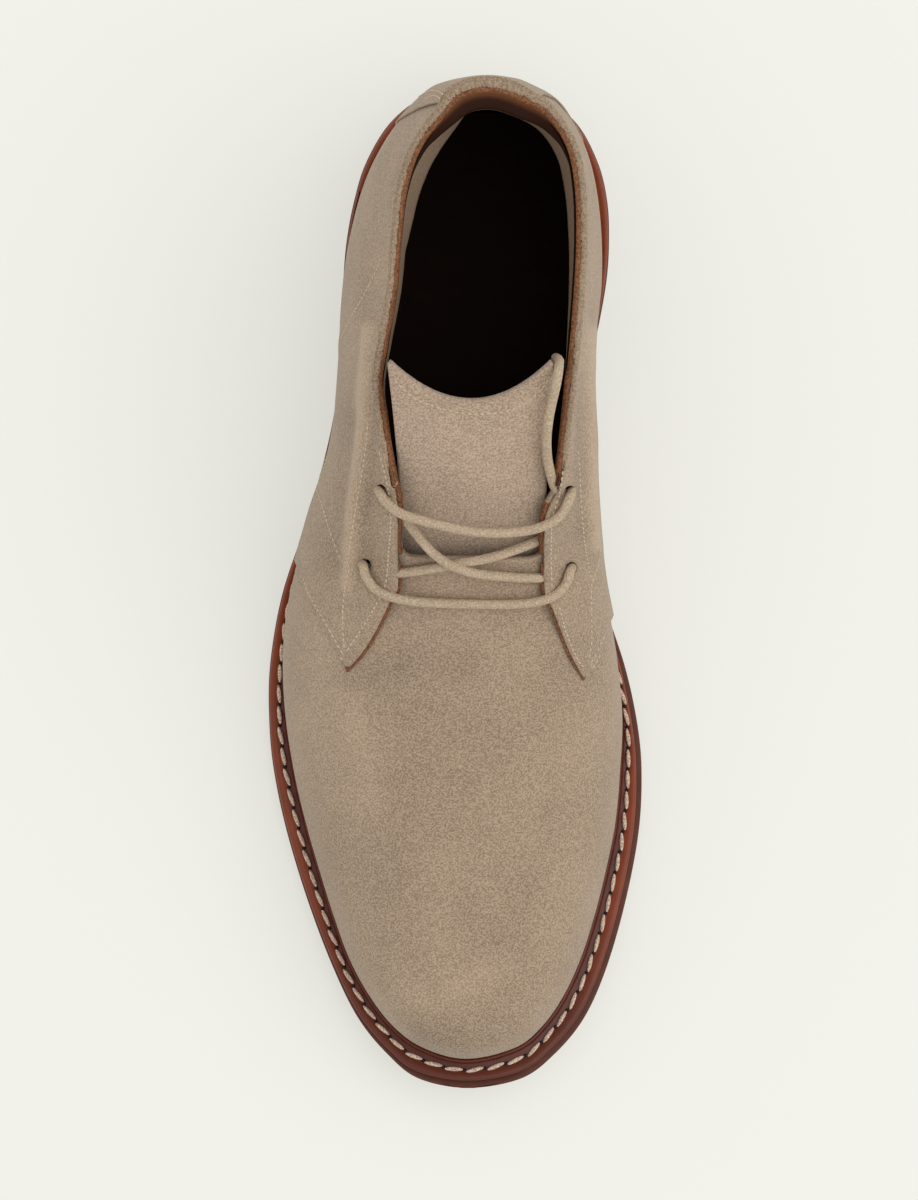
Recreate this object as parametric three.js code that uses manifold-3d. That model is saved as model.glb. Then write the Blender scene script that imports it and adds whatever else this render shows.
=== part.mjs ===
// Chukka boot for the right foot, built as separate pieces that sit about 0.3 mm apart.
// Millimetres. X runs across with the medial side positive, Y along with the heel positive, Z up.
import * as THREE from 'three';
import { mergeVertices } from 'three/addons/utils/BufferGeometryUtils.js';
import Module from 'manifold-3d';

const wasm = await Module();
wasm.setup();

// Driving sizes of the whole boot.
const SOLE_LENGTH = 299;
const BALL_WIDTH = 112;
const ANKLE_HEIGHT = 121;
const HEEL_HEIGHT = 24;
const OUTSOLE_THICK = 6;
const TOE_SPRING = 13;
const WELT_THICK = 3;
const LIP_WIDTH = 1.5;
const LIP_RISE = 1.2;
const INSOLE_THICK = 2.5;
const WALL = 1.8;
const OVERLAY = 1.2;
const BACK_STEP = 0.7;
const TONGUE_THICK = 2.4;
const LACE_THICK = 2.8;
const EYELET_HOLE = 4;
const GAP = 0.3;
const SEAT_GAP = 0.4;

// How far the welt's edge stands in from the outsole's edge on each side.
const STEP_IN = { lateral: 0.5, medial: 1.8, toe: 2.4, heel: 0.5 };

const COLOUR = {
  suede: 0xa28c74, tongue: 0xb09983, welt: 0x74382a, sole: 0x81604c,
  heel: 0x4a3222, board: 0x9a7a58, lace: 0xafa086,
};

// Sole's edge, a row per section from the back of the heel to the toe.
// along is a share of the sole's length, lateral and medial are shares of the ball width.
const SOLE_EDGE = [
  { along: 0.000, lateral: -0.070, medial: 0.070 },
  { along: 0.013, lateral: 0.061, medial: 0.207 },
  { along: 0.041, lateral: 0.166, medial: 0.315 },
  { along: 0.081, lateral: 0.233, medial: 0.376 },
  { along: 0.120, lateral: 0.266, medial: 0.402 },
  { along: 0.160, lateral: 0.286, medial: 0.407 },
  { along: 0.200, lateral: 0.295, medial: 0.400 },
  { along: 0.250, lateral: 0.300, medial: 0.376 },
  { along: 0.310, lateral: 0.312, medial: 0.340 },
  { along: 0.370, lateral: 0.344, medial: 0.326 },
  { along: 0.440, lateral: 0.400, medial: 0.341 },
  { along: 0.510, lateral: 0.463, medial: 0.392 },
  { along: 0.580, lateral: 0.496, medial: 0.455 },
  { along: 0.640, lateral: 0.498, medial: 0.490 },
  { along: 0.690, lateral: 0.484, medial: 0.501 },
  { along: 0.750, lateral: 0.449, medial: 0.492 },
  { along: 0.820, lateral: 0.391, medial: 0.455 },
  { along: 0.885, lateral: 0.323, medial: 0.403 },
  { along: 0.933, lateral: 0.257, medial: 0.343 },
  { along: 0.968, lateral: 0.178, medial: 0.263 },
  { along: 0.991, lateral: 0.096, medial: 0.175 },
  { along: 1.000, lateral: -0.035, medial: 0.035 },
];

// Upper, a row per rib. foot is where the rib stands on the outsole, top is where it ends:
// on the collar for the rear ribs, on the ridge of the instep for the front ones.
const REAR_RIBS = [
  { foot: [0.0245, -0.082, 0.082], top: [0.038, -0.080, 0.080, 1.000] },
  { foot: [0.0335, 0.062, 0.229], top: [0.044, -0.012, 0.152, 0.999] },
  { foot: [0.0535, 0.134, 0.286], top: [0.062, 0.035, 0.237, 0.995] },
  { foot: [0.084, 0.190, 0.328], top: [0.093, 0.096, 0.292, 0.987] },
  { foot: [0.122, 0.232, 0.353], top: [0.131, 0.131, 0.313, 0.979] },
  { foot: [0.174, 0.264, 0.364], top: [0.177, 0.146, 0.317, 0.971] },
  { foot: [0.227, 0.280, 0.357], top: [0.224, 0.156, 0.312, 0.961] },
  { foot: [0.281, 0.284, 0.320], top: [0.271, 0.177, 0.302, 0.949] },
  { foot: [0.328, 0.290, 0.294], top: [0.311, 0.192, 0.292, 0.938] },
  { foot: [0.368, 0.306, 0.284], top: [0.348, 0.184, 0.281, 0.926] },
  { foot: [0.401, 0.326, 0.286], top: [0.381, 0.166, 0.270, 0.909] },
  { foot: [0.431, 0.349, 0.297], top: [0.408, 0.150, 0.257, 0.888] },
];
const FRONT_RIBS = [
  { foot: [0.462, 0.374, 0.317], top: [0.428, -0.042, 0.042, 0.930] },
  { foot: [0.495, 0.399, 0.343], top: [0.465, -0.042, 0.042, 0.802] },
  { foot: [0.535, 0.420, 0.377], top: [0.502, -0.040, 0.040, 0.731] },
  { foot: [0.582, 0.433, 0.407], top: [0.545, -0.033, 0.033, 0.661] },
  { foot: [0.635, 0.430, 0.427], top: [0.592, -0.024, 0.024, 0.602] },
  { foot: [0.689, 0.410, 0.425], top: [0.639, -0.016, 0.016, 0.554] },
  { foot: [0.739, 0.379, 0.413], top: [0.682, -0.012, 0.012, 0.517] },
  { foot: [0.786, 0.344, 0.388], top: [0.722, -0.012, 0.012, 0.488] },
  { foot: [0.829, 0.309, 0.359], top: [0.759, -0.014, 0.014, 0.463] },
  { foot: [0.870, 0.269, 0.323], top: [0.793, -0.018, 0.018, 0.442] },
  { foot: [0.906, 0.216, 0.278], top: [0.823, -0.022, 0.022, 0.421] },
  { foot: [0.935, 0.155, 0.223], top: [0.846, -0.025, 0.025, 0.405] },
  { foot: [0.955, 0.080, 0.155], top: [0.863, -0.027, 0.027, 0.392] },
  { foot: [0.9655, -0.030, 0.030], top: [0.871, -0.028, 0.028, 0.384] },
];
const RIBS = [...REAR_RIBS, ...FRONT_RIBS];
const crestRib = REAR_RIBS.length;
const lastRib = RIBS.length - 1;

// Shape of a rib between foot and top. Each point is a share of the way in and up,
// pushed out by a share of the ball width on the lateral and on the medial side.
const PROFILES = [
  { rib: 0, low: [0.05, 0.004, 0.004, 0.33], mid: [0.25, 0.000, 0.000, 0.66], high: [0.62, 0.000, 0.000, 0.86] },
  { rib: 3, low: [0.05, 0.004, 0.004, 0.33], mid: [0.35, 0.006, 0.004, 0.67], high: [0.75, 0.004, 0.003, 0.87] },
  { rib: 6, low: [0.05, 0.009, 0.009, 0.33], mid: [0.35, 0.014, 0.010, 0.67], high: [0.75, 0.009, 0.005, 0.87] },
  { rib: 9, low: [0.05, 0.020, 0.066, 0.33], mid: [0.35, 0.024, 0.066, 0.66], high: [0.75, 0.018, 0.031, 0.86] },
  { rib: 11, low: [0.05, 0.034, 0.063, 0.32], mid: [0.35, 0.043, 0.071, 0.64], high: [0.75, 0.038, 0.047, 0.85] },
  { rib: 12, low: [0.05, 0.044, 0.066, 0.28], mid: [0.15, 0.030, 0.084, 0.58], high: [0.42, 0.035, 0.100, 0.79] },
  { rib: 14, low: [0.05, 0.048, 0.047, 0.28], mid: [0.18, 0.036, 0.064, 0.62], high: [0.50, 0.028, 0.054, 0.87] },
  { rib: 17, low: [0.05, 0.034, 0.031, 0.27], mid: [0.20, 0.027, 0.036, 0.64], high: [0.55, 0.011, 0.028, 0.90] },
  { rib: 21, low: [0.05, 0.026, 0.026, 0.30], mid: [0.20, 0.022, 0.022, 0.70], high: [0.55, 0.007, 0.007, 0.92] },
  { rib: 25, low: [0.05, 0.021, 0.021, 0.30], mid: [0.20, 0.018, 0.018, 0.70], high: [0.55, 0.007, 0.007, 0.92] },
];

// Plan outlines as [across, along] in shares of the ball width and the sole's length.
const THROAT = [
  [-0.156, 0.325], [-0.158, 0.350], [-0.160, 0.366], [-0.158, 0.384], [-0.150, 0.402],
  [-0.140, 0.419], [-0.1365, 0.436], [-0.136, 0.470], [-0.100, 0.4745], [0.033, 0.4765],
  [0.180, 0.4755], [0.217, 0.472], [0.217, 0.452], [0.2185, 0.4415], [0.226, 0.432],
  [0.238, 0.421], [0.255, 0.4115], [0.262, 0.402], [0.264, 0.384], [0.261, 0.356],
  [0.258, 0.325],
];
const QUARTERS = [
  [-0.155, 0.325], [-0.160, 0.350], [-0.165, 0.366], [-0.166, 0.384], [-0.158, 0.402],
  [-0.1485, 0.419], [-0.145, 0.436], [-0.144, 0.470], [-0.144, 0.503], [-0.162, 0.515],
  [-0.188, 0.535], [-0.215, 0.553], [-0.241, 0.567], [-0.277, 0.582], [-0.296, 0.569],
  [-0.317, 0.554], [-0.343, 0.537], [-0.367, 0.520], [-0.389, 0.507], [-0.404, 0.490],
  [-0.420, 0.476], [-0.700, 0.460], [-0.700, -0.100], [0.700, -0.100], [0.700, 0.500],
  [0.430, 0.520], [0.398, 0.541], [0.386, 0.557], [0.376, 0.568], [0.362, 0.581],
  [0.333, 0.590], [0.299, 0.568], [0.272, 0.545], [0.245, 0.520], [0.229, 0.508],
  [0.226, 0.470], [0.226, 0.452], [0.2275, 0.4415], [0.235, 0.432], [0.247, 0.4215],
  [0.263, 0.4125], [0.268, 0.402], [0.270, 0.384], [0.264, 0.356], [0.258, 0.325],
];
const BACK_PANEL = [
  [-0.020, 0.070], [-0.040, 0.053], [-0.083, 0.052], [-0.133, 0.056], [-0.160, 0.050],
  [-0.230, 0.075], [-0.360, 0.110], [-0.600, -0.100], [0.600, -0.100], [0.450, 0.110],
  [0.345, 0.075], [0.300, 0.050], [0.262, 0.041], [0.225, 0.040], [0.195, 0.060],
];
const EYELETS = [
  { side: -1, across: 0.187, along: 0.412 },
  { side: -1, across: 0.228, along: 0.481 },
  { side: 1, across: 0.290, along: 0.413 },
  { side: 1, across: 0.297, along: 0.484 },
];

// Tongue, a row per section from under the vamp to its free top edge.
// drop is how far its edges hang under its middle, back how far they stand behind it.
const TONGUE = [
  { along: 0.555, up: 0.583, lateral: 0.085, medial: 0.165, drop: 0.012, back: 0.000 },
  { along: 0.520, up: 0.637, lateral: 0.112, medial: 0.196, drop: 0.028, back: 0.000 },
  { along: 0.480, up: 0.712, lateral: 0.130, medial: 0.224, drop: 0.040, back: 0.000 },
  { along: 0.440, up: 0.805, lateral: 0.140, medial: 0.230, drop: 0.044, back: 0.000 },
  { along: 0.400, up: 0.893, lateral: 0.142, medial: 0.232, drop: 0.036, back: 0.006 },
  { along: 0.365, up: 0.965, lateral: 0.152, medial: 0.241, drop: 0.008, back: 0.020 },
  { along: 0.332, up: 1.022, lateral: 0.166, medial: 0.244, drop: -0.016, back: 0.036 },
];
const TONGUE_MIDDLE = 0.042;

// Lace paths as [across, along, height over the upper's outer face in lace thicknesses].
const TOP_BAR = [
  [-0.168, 0.421, 1.36], [-0.150, 0.428, 1.20], [-0.110, 0.437, 0.86], [-0.050, 0.443, 0.55],
  [0.030, 0.449, 0.40], [0.110, 0.449, 0.45], [0.180, 0.445, 0.75], [0.222, 0.439, 1.05],
  [0.252, 0.429, 1.10],
];
const LOWER_BAR = [
  [-0.208, 0.497, 1.10], [-0.190, 0.505, 1.10], [-0.150, 0.514, 1.10], [-0.090, 0.519, 0.80],
  [0.000, 0.520, 0.70], [0.110, 0.520, 0.70], [0.190, 0.518, 0.85], [0.245, 0.511, 1.10],
  [0.275, 0.500, 1.10],
];
const CROSS_OVER = [
  [-0.112, 0.447, -0.45], [-0.084, 0.457, 0.10], [-0.048, 0.469, 1.00], [-0.010, 0.480, 1.50],
  [0.040, 0.487, 1.15], [0.090, 0.490, 0.80], [0.150, 0.492, 0.68], [0.196, 0.492, 0.68],
];
const CROSS_UNDER = [
  [0.196, 0.457, -0.55], [0.150, 0.464, -0.15], [0.110, 0.468, 0.40], [0.050, 0.473, 0.76],
  [-0.004, 0.4795, 0.74], [-0.055, 0.487, 0.72], [-0.110, 0.491, 0.74],
];
const TUCKED_END = [
  [0.240, 0.397, 0.886], [0.231, 0.382, 0.919], [0.228, 0.362, 0.968], [0.232, 0.340, 0.999],
  [0.240, 0.318, 1.022], [0.248, 0.302, 1.047], [0.254, 0.289, 1.055], [0.257, 0.280, 1.034],
  [0.258, 0.274, 0.980], [0.253, 0.270, 0.890],
];

const lerp = THREE.MathUtils.lerp;

function between(values, f) {
  const [a, b, c, d] = values;
  return 0.5 * (2 * b + (c - a) * f + (2 * a - 5 * b + 4 * c - d) * f * f
    + (3 * b - a - 3 * c + d) * f * f * f);
}

// A smooth value at position t of a list. before and after stand in for the rows past its ends.
function smooth(list, t, before, after) {
  const i = Math.min(Math.floor(t), list.length - 2);
  const at = (k) => (k < 0 ? before : k > list.length - 1 ? after : list[k]);
  return between([at(i - 1), at(i), at(i + 1), at(i + 2)], t - i);
}

// Edge of a plan outline at position t: along and the two sides. It is mirrored past heel and
// toe, but the collar's is open in front and runs straight on there.
function edgeAt(rows, t) {
  const along = rows.map((row) => row[0]);
  const lateral = rows.map((row) => row[1]);
  const medial = rows.map((row) => row[2]);
  const n = rows.length - 1;
  const past = (list, mirrored) => (rows === COLLAR_ROWS ? 2 * list[n] - list[n - 1] : mirrored);
  return {
    u: SOLE_LENGTH * smooth(along, t, along[1], past(along, along[n - 1])),
    lateral: BALL_WIDTH * smooth(lateral, t, -medial[1], past(lateral, -medial[n - 1])),
    medial: BALL_WIDTH * smooth(medial, t, -lateral[1], past(medial, -lateral[n - 1])),
  };
}

function planPoint(rows, t, side) {
  const edge = edgeAt(rows, t);
  return new THREE.Vector2(side < 0 ? -edge.lateral : edge.medial, edge.u);
}

const SOLE_ROWS = SOLE_EDGE.map((row) => [row.along, row.lateral, row.medial]);
const FOOT_ROWS = RIBS.map((row) => row.foot);
const COLLAR_ROWS = REAR_RIBS.map((row) => row.top);
const RIDGE_ROWS = FRONT_RIBS.map((row) => row.top);

// Height of the outsole's top face at a distance u from the back of the heel.
function seat(u) {
  const share = u / SOLE_LENGTH;
  const arch = THREE.MathUtils.smoothstep(share, 0.20, 0.64);
  const spring = Math.max(0, (share - 0.735) / 0.265);
  return OUTSOLE_THICK + (HEEL_HEIGHT + GAP) * (1 - arch) + TOE_SPRING * spring * spring;
}

function outwards(rows, t, side) {
  const last = rows.length - 1;
  const step = 0.02;
  const a = planPoint(rows, Math.max(0, t - step), side);
  const b = planPoint(rows, Math.min(last, t + step), side);
  const run = b.sub(a);
  if (t < step) run.y = 0;
  if (t > last - step) run.y = 0;
  return side > 0 ? new THREE.Vector2(run.y, -run.x).normalize()
    : new THREE.Vector2(-run.y, run.x).normalize();
}

function profileAt(name, column, t) {
  let k = 0;
  while (k < PROFILES.length - 2 && PROFILES[k + 1].rib <= t) k += 1;
  const a = PROFILES[k];
  const b = PROFILES[k + 1];
  const f = THREE.MathUtils.clamp((t - a.rib) / (b.rib - a.rib), 0, 1);
  const eased = b.rib - a.rib > 1 ? lerp(f, f * f * (3 - 2 * f), 0.5) : f;
  return lerp(a[name][column], b[name][column], eased);
}

// Foot, three shaping points and top of the rib at position t, on one side.
function ribPoints(t, side) {
  const foot = planPoint(FOOT_ROWS, t, side);
  const footUp = seat(foot.y) + SEAT_GAP;
  const rear = t < crestRib - 0.5;
  const rows = rear ? COLLAR_ROWS : RIDGE_ROWS;
  const at = rear ? Math.min(t, crestRib - 1) : Math.max(0, t - crestRib);
  const top = planPoint(rows, at, side);
  const ups = rows.map((row) => row[3]);
  const topUp = ANKLE_HEIGHT * smooth(ups, at, ups[1], ups[ups.length - 2]);
  const out = outwards(FOOT_ROWS, t, side);
  const points = [new THREE.Vector3(foot.x, foot.y, footUp)];
  for (const name of ['low', 'mid', 'high']) {
    const share = profileAt(name, 0, t);
    const push = BALL_WIDTH * profileAt(name, side < 0 ? 1 : 2, t);
    const up = profileAt(name, 3, t);
    const spot = foot.clone().lerp(top, share).addScaledVector(out, push);
    points.push(new THREE.Vector3(spot.x, spot.y, lerp(footUp, topUp, up)));
  }
  points.push(new THREE.Vector3(top.x, top.y, topUp));
  return points;
}

// Point of the upper's outer face: t picks the rib, w runs from its foot (0) to its top (4).
function facePoint(t, w, side) {
  if (t < 0) return facePoint(-t, w, -side);
  if (t > lastRib) return facePoint(2 * lastRib - t, w, -side);
  const points = ribPoints(t, side);
  const first = points[0].clone().multiplyScalar(2).sub(points[1]);
  const front = t > crestRib - 0.5;
  const next = front ? ribPoints(t, -side)[3] : points[4].clone().multiplyScalar(2).sub(points[3]);
  const pick = (axis) => smooth(points.map((p) => p[axis]), w, first[axis], next[axis]);
  return new THREE.Vector3(pick('x'), pick('y'), pick('z'));
}

function faceNormal(t, w, side) {
  const step = 0.04;
  if (t > lastRib - step && w > 4 - 2 * step) return faceNormal(t, 4 - 3 * step, side);
  const front = t > crestRib - 0.5;
  const tLow = front && t < crestRib + step ? crestRib : t - step;
  const tHigh = !front && t > crestRib - 1 - step ? crestRib - 1 : t + step;
  const alongRib = facePoint(tHigh, w, side).sub(facePoint(tLow, w, side));
  let upRib;
  if (w > 4 - step && front) {
    upRib = facePoint(t, 4 - step, -side).sub(facePoint(t, 4 - step, side));
  } else {
    upRib = facePoint(t, Math.min(4, w + step), side).sub(facePoint(t, Math.max(0, w - step), side));
  }
  const normal = alongRib.cross(upRib).normalize();
  return side > 0 ? normal : normal.negate();
}

// Where a ring of triangles is gathered before it becomes one closed solid.
class Faces {
  constructor() {
    this.positions = [];
    this.indices = [];
  }
  point(p) {
    this.positions.push(p.x, p.y, p.z);
    return this.positions.length / 3 - 1;
  }
  quad(a, b, c, d) {
    this.indices.push(a, b, c, a, c, d);
  }
  geometry() {
    let made = new THREE.BufferGeometry();
    made.setAttribute('position', new THREE.Float32BufferAttribute(this.positions, 3));
    made.setIndex(this.indices);
    made = mergeVertices(made, 0.002);
    const kept = [];
    const index = made.index.array;
    for (let i = 0; i < index.length; i += 3) {
      const [a, b, c] = index.slice(i, i + 3);
      if (a !== b && b !== c && c !== a) kept.push(a, b, c);
    }
    made.setIndex(kept);
    return made;
  }
}

function solid(geometry) {
  let bare = geometry.clone();
  bare.deleteAttribute('normal');
  bare.deleteAttribute('uv');
  bare = mergeVertices(bare, 0.001);
  const mesh = new wasm.Mesh({
    numProp: 3,
    vertProperties: new Float32Array(bare.attributes.position.array),
    triVerts: new Uint32Array(bare.index.array),
  });
  return new wasm.Manifold(mesh);
}

function fromSolid(body) {
  const mesh = body.getMesh();
  const made = new THREE.BufferGeometry();
  made.setAttribute('position', new THREE.BufferAttribute(new Float32Array(mesh.vertProperties), 3));
  made.setIndex(new THREE.BufferAttribute(new Uint32Array(mesh.triVerts), 1));
  return made;
}

// Plate between two heights that depend only on the distance from the heel.
function plate(rows, from, to, steps, topAt, bottomAt, inset, drawIn) {
  const faces = new Faces();
  const rings = [];
  for (let i = 0; i <= steps; i += 1) {
    const t = lerp(from, to, i / steps);
    const ring = [];
    for (const side of [-1, 1]) {
      const edge = planPoint(rows, t, side).addScaledVector(outwards(rows, t, side), -inset);
      const under = planPoint(rows, t, side).addScaledVector(outwards(rows, t, side), -inset - drawIn);
      ring.push(faces.point(new THREE.Vector3(edge.x, edge.y, topAt(edge.y))));
      ring.push(faces.point(new THREE.Vector3(under.x, under.y, bottomAt(under.y))));
    }
    rings.push(ring);
  }
  for (let i = 0; i < steps; i += 1) {
    const [tl, bl, tm, bm] = rings[i];
    const [tl2, bl2, tm2, bm2] = rings[i + 1];
    faces.quad(tl, tm, tm2, tl2);
    faces.quad(bl, bl2, bm2, bm);
    faces.quad(tl, tl2, bl2, bl);
    faces.quad(tm, bm, bm2, tm2);
  }
  for (const [ring, flip] of [[rings[0], false], [rings[steps], true]]) {
    const [tl, bl, tm, bm] = ring;
    if (flip) faces.quad(tl, tm, bm, bl);
    else faces.quad(tl, bl, bm, tm);
  }
  return faces.geometry();
}

// Positions of the ribs that are drawn, closer together around the heel and the toe.
const RIB_STOPS = [];
for (let t = 0; t < 5; t += 0.5) RIB_STOPS.push(t);
for (let t = 5; t < 19; t += 1) RIB_STOPS.push(t);
for (let t = 19; t <= lastRib; t += 0.5) RIB_STOPS.push(t);

// Hollow band of the upper between two offsets from its outer face.
function band(outer, inner, wStart, wEnd) {
  const ribs = RIB_STOPS;
  const faces = new Faces();
  const steps = 12;
  const grid = {};
  for (const side of [-1, 1]) {
    grid[side] = ribs.map((t) => {
      const column = [];
      for (let j = 0; j <= steps; j += 1) {
        const front = t > crestRib - 0.5;
        const w = lerp(wStart, front ? 4 : wEnd, j / steps);
        const p = facePoint(t, w, side);
        const n = faceNormal(t, w, side);
        const lift = j === 0 && wStart === 0 ? new THREE.Vector3(n.x, n.y, 0).normalize() : n;
        column.push([faces.point(p.clone().addScaledVector(lift, outer)),
          faces.point(p.clone().addScaledVector(lift, inner))]);
      }
      return column;
    });
  }
  for (const side of [-1, 1]) {
    const put = (a, b, c, d) => (side > 0 ? faces.quad(a, b, c, d) : faces.quad(d, c, b, a));
    for (let i = 0; i + 1 < ribs.length; i += 1) {
      const here = grid[side][i];
      const next = grid[side][i + 1];
      for (let j = 0; j < steps; j += 1) {
        put(here[j][0], next[j][0], next[j + 1][0], here[j + 1][0]);
        put(here[j][1], here[j + 1][1], next[j + 1][1], next[j][1]);
      }
      put(here[0][1], next[0][1], next[0][0], here[0][0]);
      if (ribs[i] < crestRib) put(here[steps][0], next[steps][0], next[steps][1], here[steps][1]);
    }
  }
  return solid(faces.geometry());
}

function prism(outline, from, to) {
  const shape = new THREE.Shape(outline.map(([x, u]) => (
    new THREE.Vector2(x * BALL_WIDTH, u * SOLE_LENGTH))));
  const made = new THREE.ExtrudeGeometry(shape, { depth: to - from, bevelEnabled: false });
  made.translate(0, 0, from);
  return solid(made);
}

// Spots of the closed instep face, to find its height and tilt over a point of the plan.
const SPOTS = [];
for (const side of [-1, 1]) {
  for (let w = 1.5; w <= 4; w += 0.125) {
    const spots = [];
    for (let t = crestRib; t <= 18; t += 0.25) {
      spots.push({ point: facePoint(t, w, side), normal: faceNormal(t, w, side) });
    }
    for (let t = 9; t < crestRib; t += 0.25) {
      const at = Math.min(t, crestRib - 1);
      const rear = { point: facePoint(at, w, side), normal: faceNormal(at, w, side) };
      rear.point.lerp(spots[0].point, t - at);
      rear.normal.lerp(spots[0].normal, t - at).normalize();
      spots.push(rear);
    }
    SPOTS.push(...spots);
  }
}

function overInstep(x, u) {
  let best = SPOTS[0];
  let least = Infinity;
  for (const spot of SPOTS) {
    const away = (spot.point.x - x) ** 2 + (spot.point.y - u) ** 2;
    if (away < least) {
      least = away;
      best = spot;
    }
  }
  const slope = ((x - best.point.x) * best.normal.x + (u - best.point.y) * best.normal.y);
  const z = best.point.z - slope / Math.max(0.3, best.normal.z);
  return { point: new THREE.Vector3(x, u, z), normal: best.normal.clone() };
}

function eyeletPin({ side, across, along }) {
  const spot = overInstep(side * across * BALL_WIDTH, along * SOLE_LENGTH);
  const pin = new THREE.CylinderGeometry(EYELET_HOLE / 2, EYELET_HOLE / 2, 16, 12);
  pin.applyQuaternion(new THREE.Quaternion().setFromUnitVectors(new THREE.Vector3(0, 1, 0), spot.normal));
  pin.translate(spot.point.x, spot.point.y, spot.point.z);
  return solid(pin);
}

function upper() {
  const tall = ANKLE_HEIGHT * 1.5;
  let body = band(0, -WALL, 0, 4).subtract(prism(THROAT, -10, tall));
  const quarters = band(OVERLAY, -WALL / 2, 0.17, 3.95).intersect(prism(QUARTERS, -10, tall));
  const panel = band(OVERLAY + BACK_STEP, OVERLAY / 2, 0.19, 3.92).intersect(prism(BACK_PANEL, -10, tall));
  body = body.add(quarters).add(panel);
  for (const eyelet of EYELETS) body = body.subtract(eyeletPin(eyelet));
  return fromSolid(body);
}

// Length of one side of an outline from the heel to each of its positions.
function reachOf(rows, side) {
  const fine = 400;
  const last = rows.length - 1;
  const reach = [0];
  for (let i = 1; i <= fine; i += 1) {
    const a = planPoint(rows, (last * (i - 1)) / fine, side);
    const b = planPoint(rows, (last * i) / fine, side);
    reach.push(reach[i - 1] + a.distanceTo(b));
  }
  return reach;
}

// Position on the sole's edge that lies the same share of the way round as a rib's foot.
function edgeBeside(t, side, footReach, soleReach) {
  const fine = footReach.length - 1;
  const spot = (t / lastRib) * fine;
  const i = Math.min(fine - 1, Math.floor(spot));
  const want = (lerp(footReach[i], footReach[i + 1], spot - i) / footReach[fine]) * soleReach[fine];
  let k = 0;
  while (k < fine - 1 && soleReach[k + 1] < want) k += 1;
  const f = (want - soleReach[k]) / (soleReach[k + 1] - soleReach[k]);
  return ((SOLE_ROWS.length - 1) * (k + f)) / fine;
}

// How far the upper's face leans out over its foot within the height of the welt.
function leanOut(t, side, foot, away) {
  const start = facePoint(t, 0, side).z;
  let lean = 0;
  for (let w = 0; w < 1; w += 0.05) {
    const p = facePoint(t, w, side);
    if (p.z - start > WELT_THICK + LIP_RISE + GAP) break;
    lean = Math.max(lean, (p.x - foot.x) * away.x + (p.y - foot.y) * away.y);
  }
  return lean;
}

function welt() {
  const rings = [];
  const faces = new Faces();
  for (const side of [-1, 1]) {
    const footReach = reachOf(FOOT_ROWS, side);
    const soleReach = reachOf(SOLE_ROWS, side);
    const order = side < 0 ? RIB_STOPS : [...RIB_STOPS].reverse().slice(1, -1);
    for (const t of order) {
      const beside = edgeBeside(t, side, footReach, soleReach);
      const out = outwards(SOLE_ROWS, beside, side);
      const ball = THREE.MathUtils.smoothstep(planPoint(SOLE_ROWS, beside, side).y / SOLE_LENGTH, 0.48, 0.62);
      const medial = lerp(STEP_IN.heel, STEP_IN.medial, ball);
      const step = STEP_IN.lateral * Math.max(0, -out.x) ** 2 + medial * Math.max(0, out.x) ** 2
        + STEP_IN.toe * Math.max(0, out.y) ** 2 + STEP_IN.heel * Math.max(0, -out.y) ** 2;
      const rim = planPoint(SOLE_ROWS, beside, side).addScaledVector(out, -step);
      const foot = planPoint(FOOT_ROWS, t, side);
      const away = outwards(FOOT_ROWS, t, side);
      const lean = leanOut(t, side, foot, away);
      const near = foot.clone().addScaledVector(away, lean + GAP);
      const fore = THREE.MathUtils.smoothstep(foot.y / SOLE_LENGTH, 0.55, 0.63);
      const lip = near.clone().addScaledVector(away, LIP_WIDTH * lerp(0.4, 1, fore));
      const rise = 0.1 + LIP_RISE * fore;
      const at = (p, lift) => faces.point(new THREE.Vector3(p.x, p.y, seat(p.y) + SEAT_GAP + lift));
      rings.push([at(near, 0), at(near, WELT_THICK + rise), at(lip, WELT_THICK + rise),
        at(lip, WELT_THICK), at(rim, WELT_THICK), at(rim, 0)]);
    }
  }
  for (let k = 0; k < rings.length; k += 1) {
    const here = rings[k];
    const next = rings[(k + 1) % rings.length];
    for (let j = 0; j < here.length; j += 1) {
      const n = (j + 1) % here.length;
      faces.quad(here[j], next[j], next[n], here[n]);
    }
  }
  return faces.geometry();
}

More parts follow.
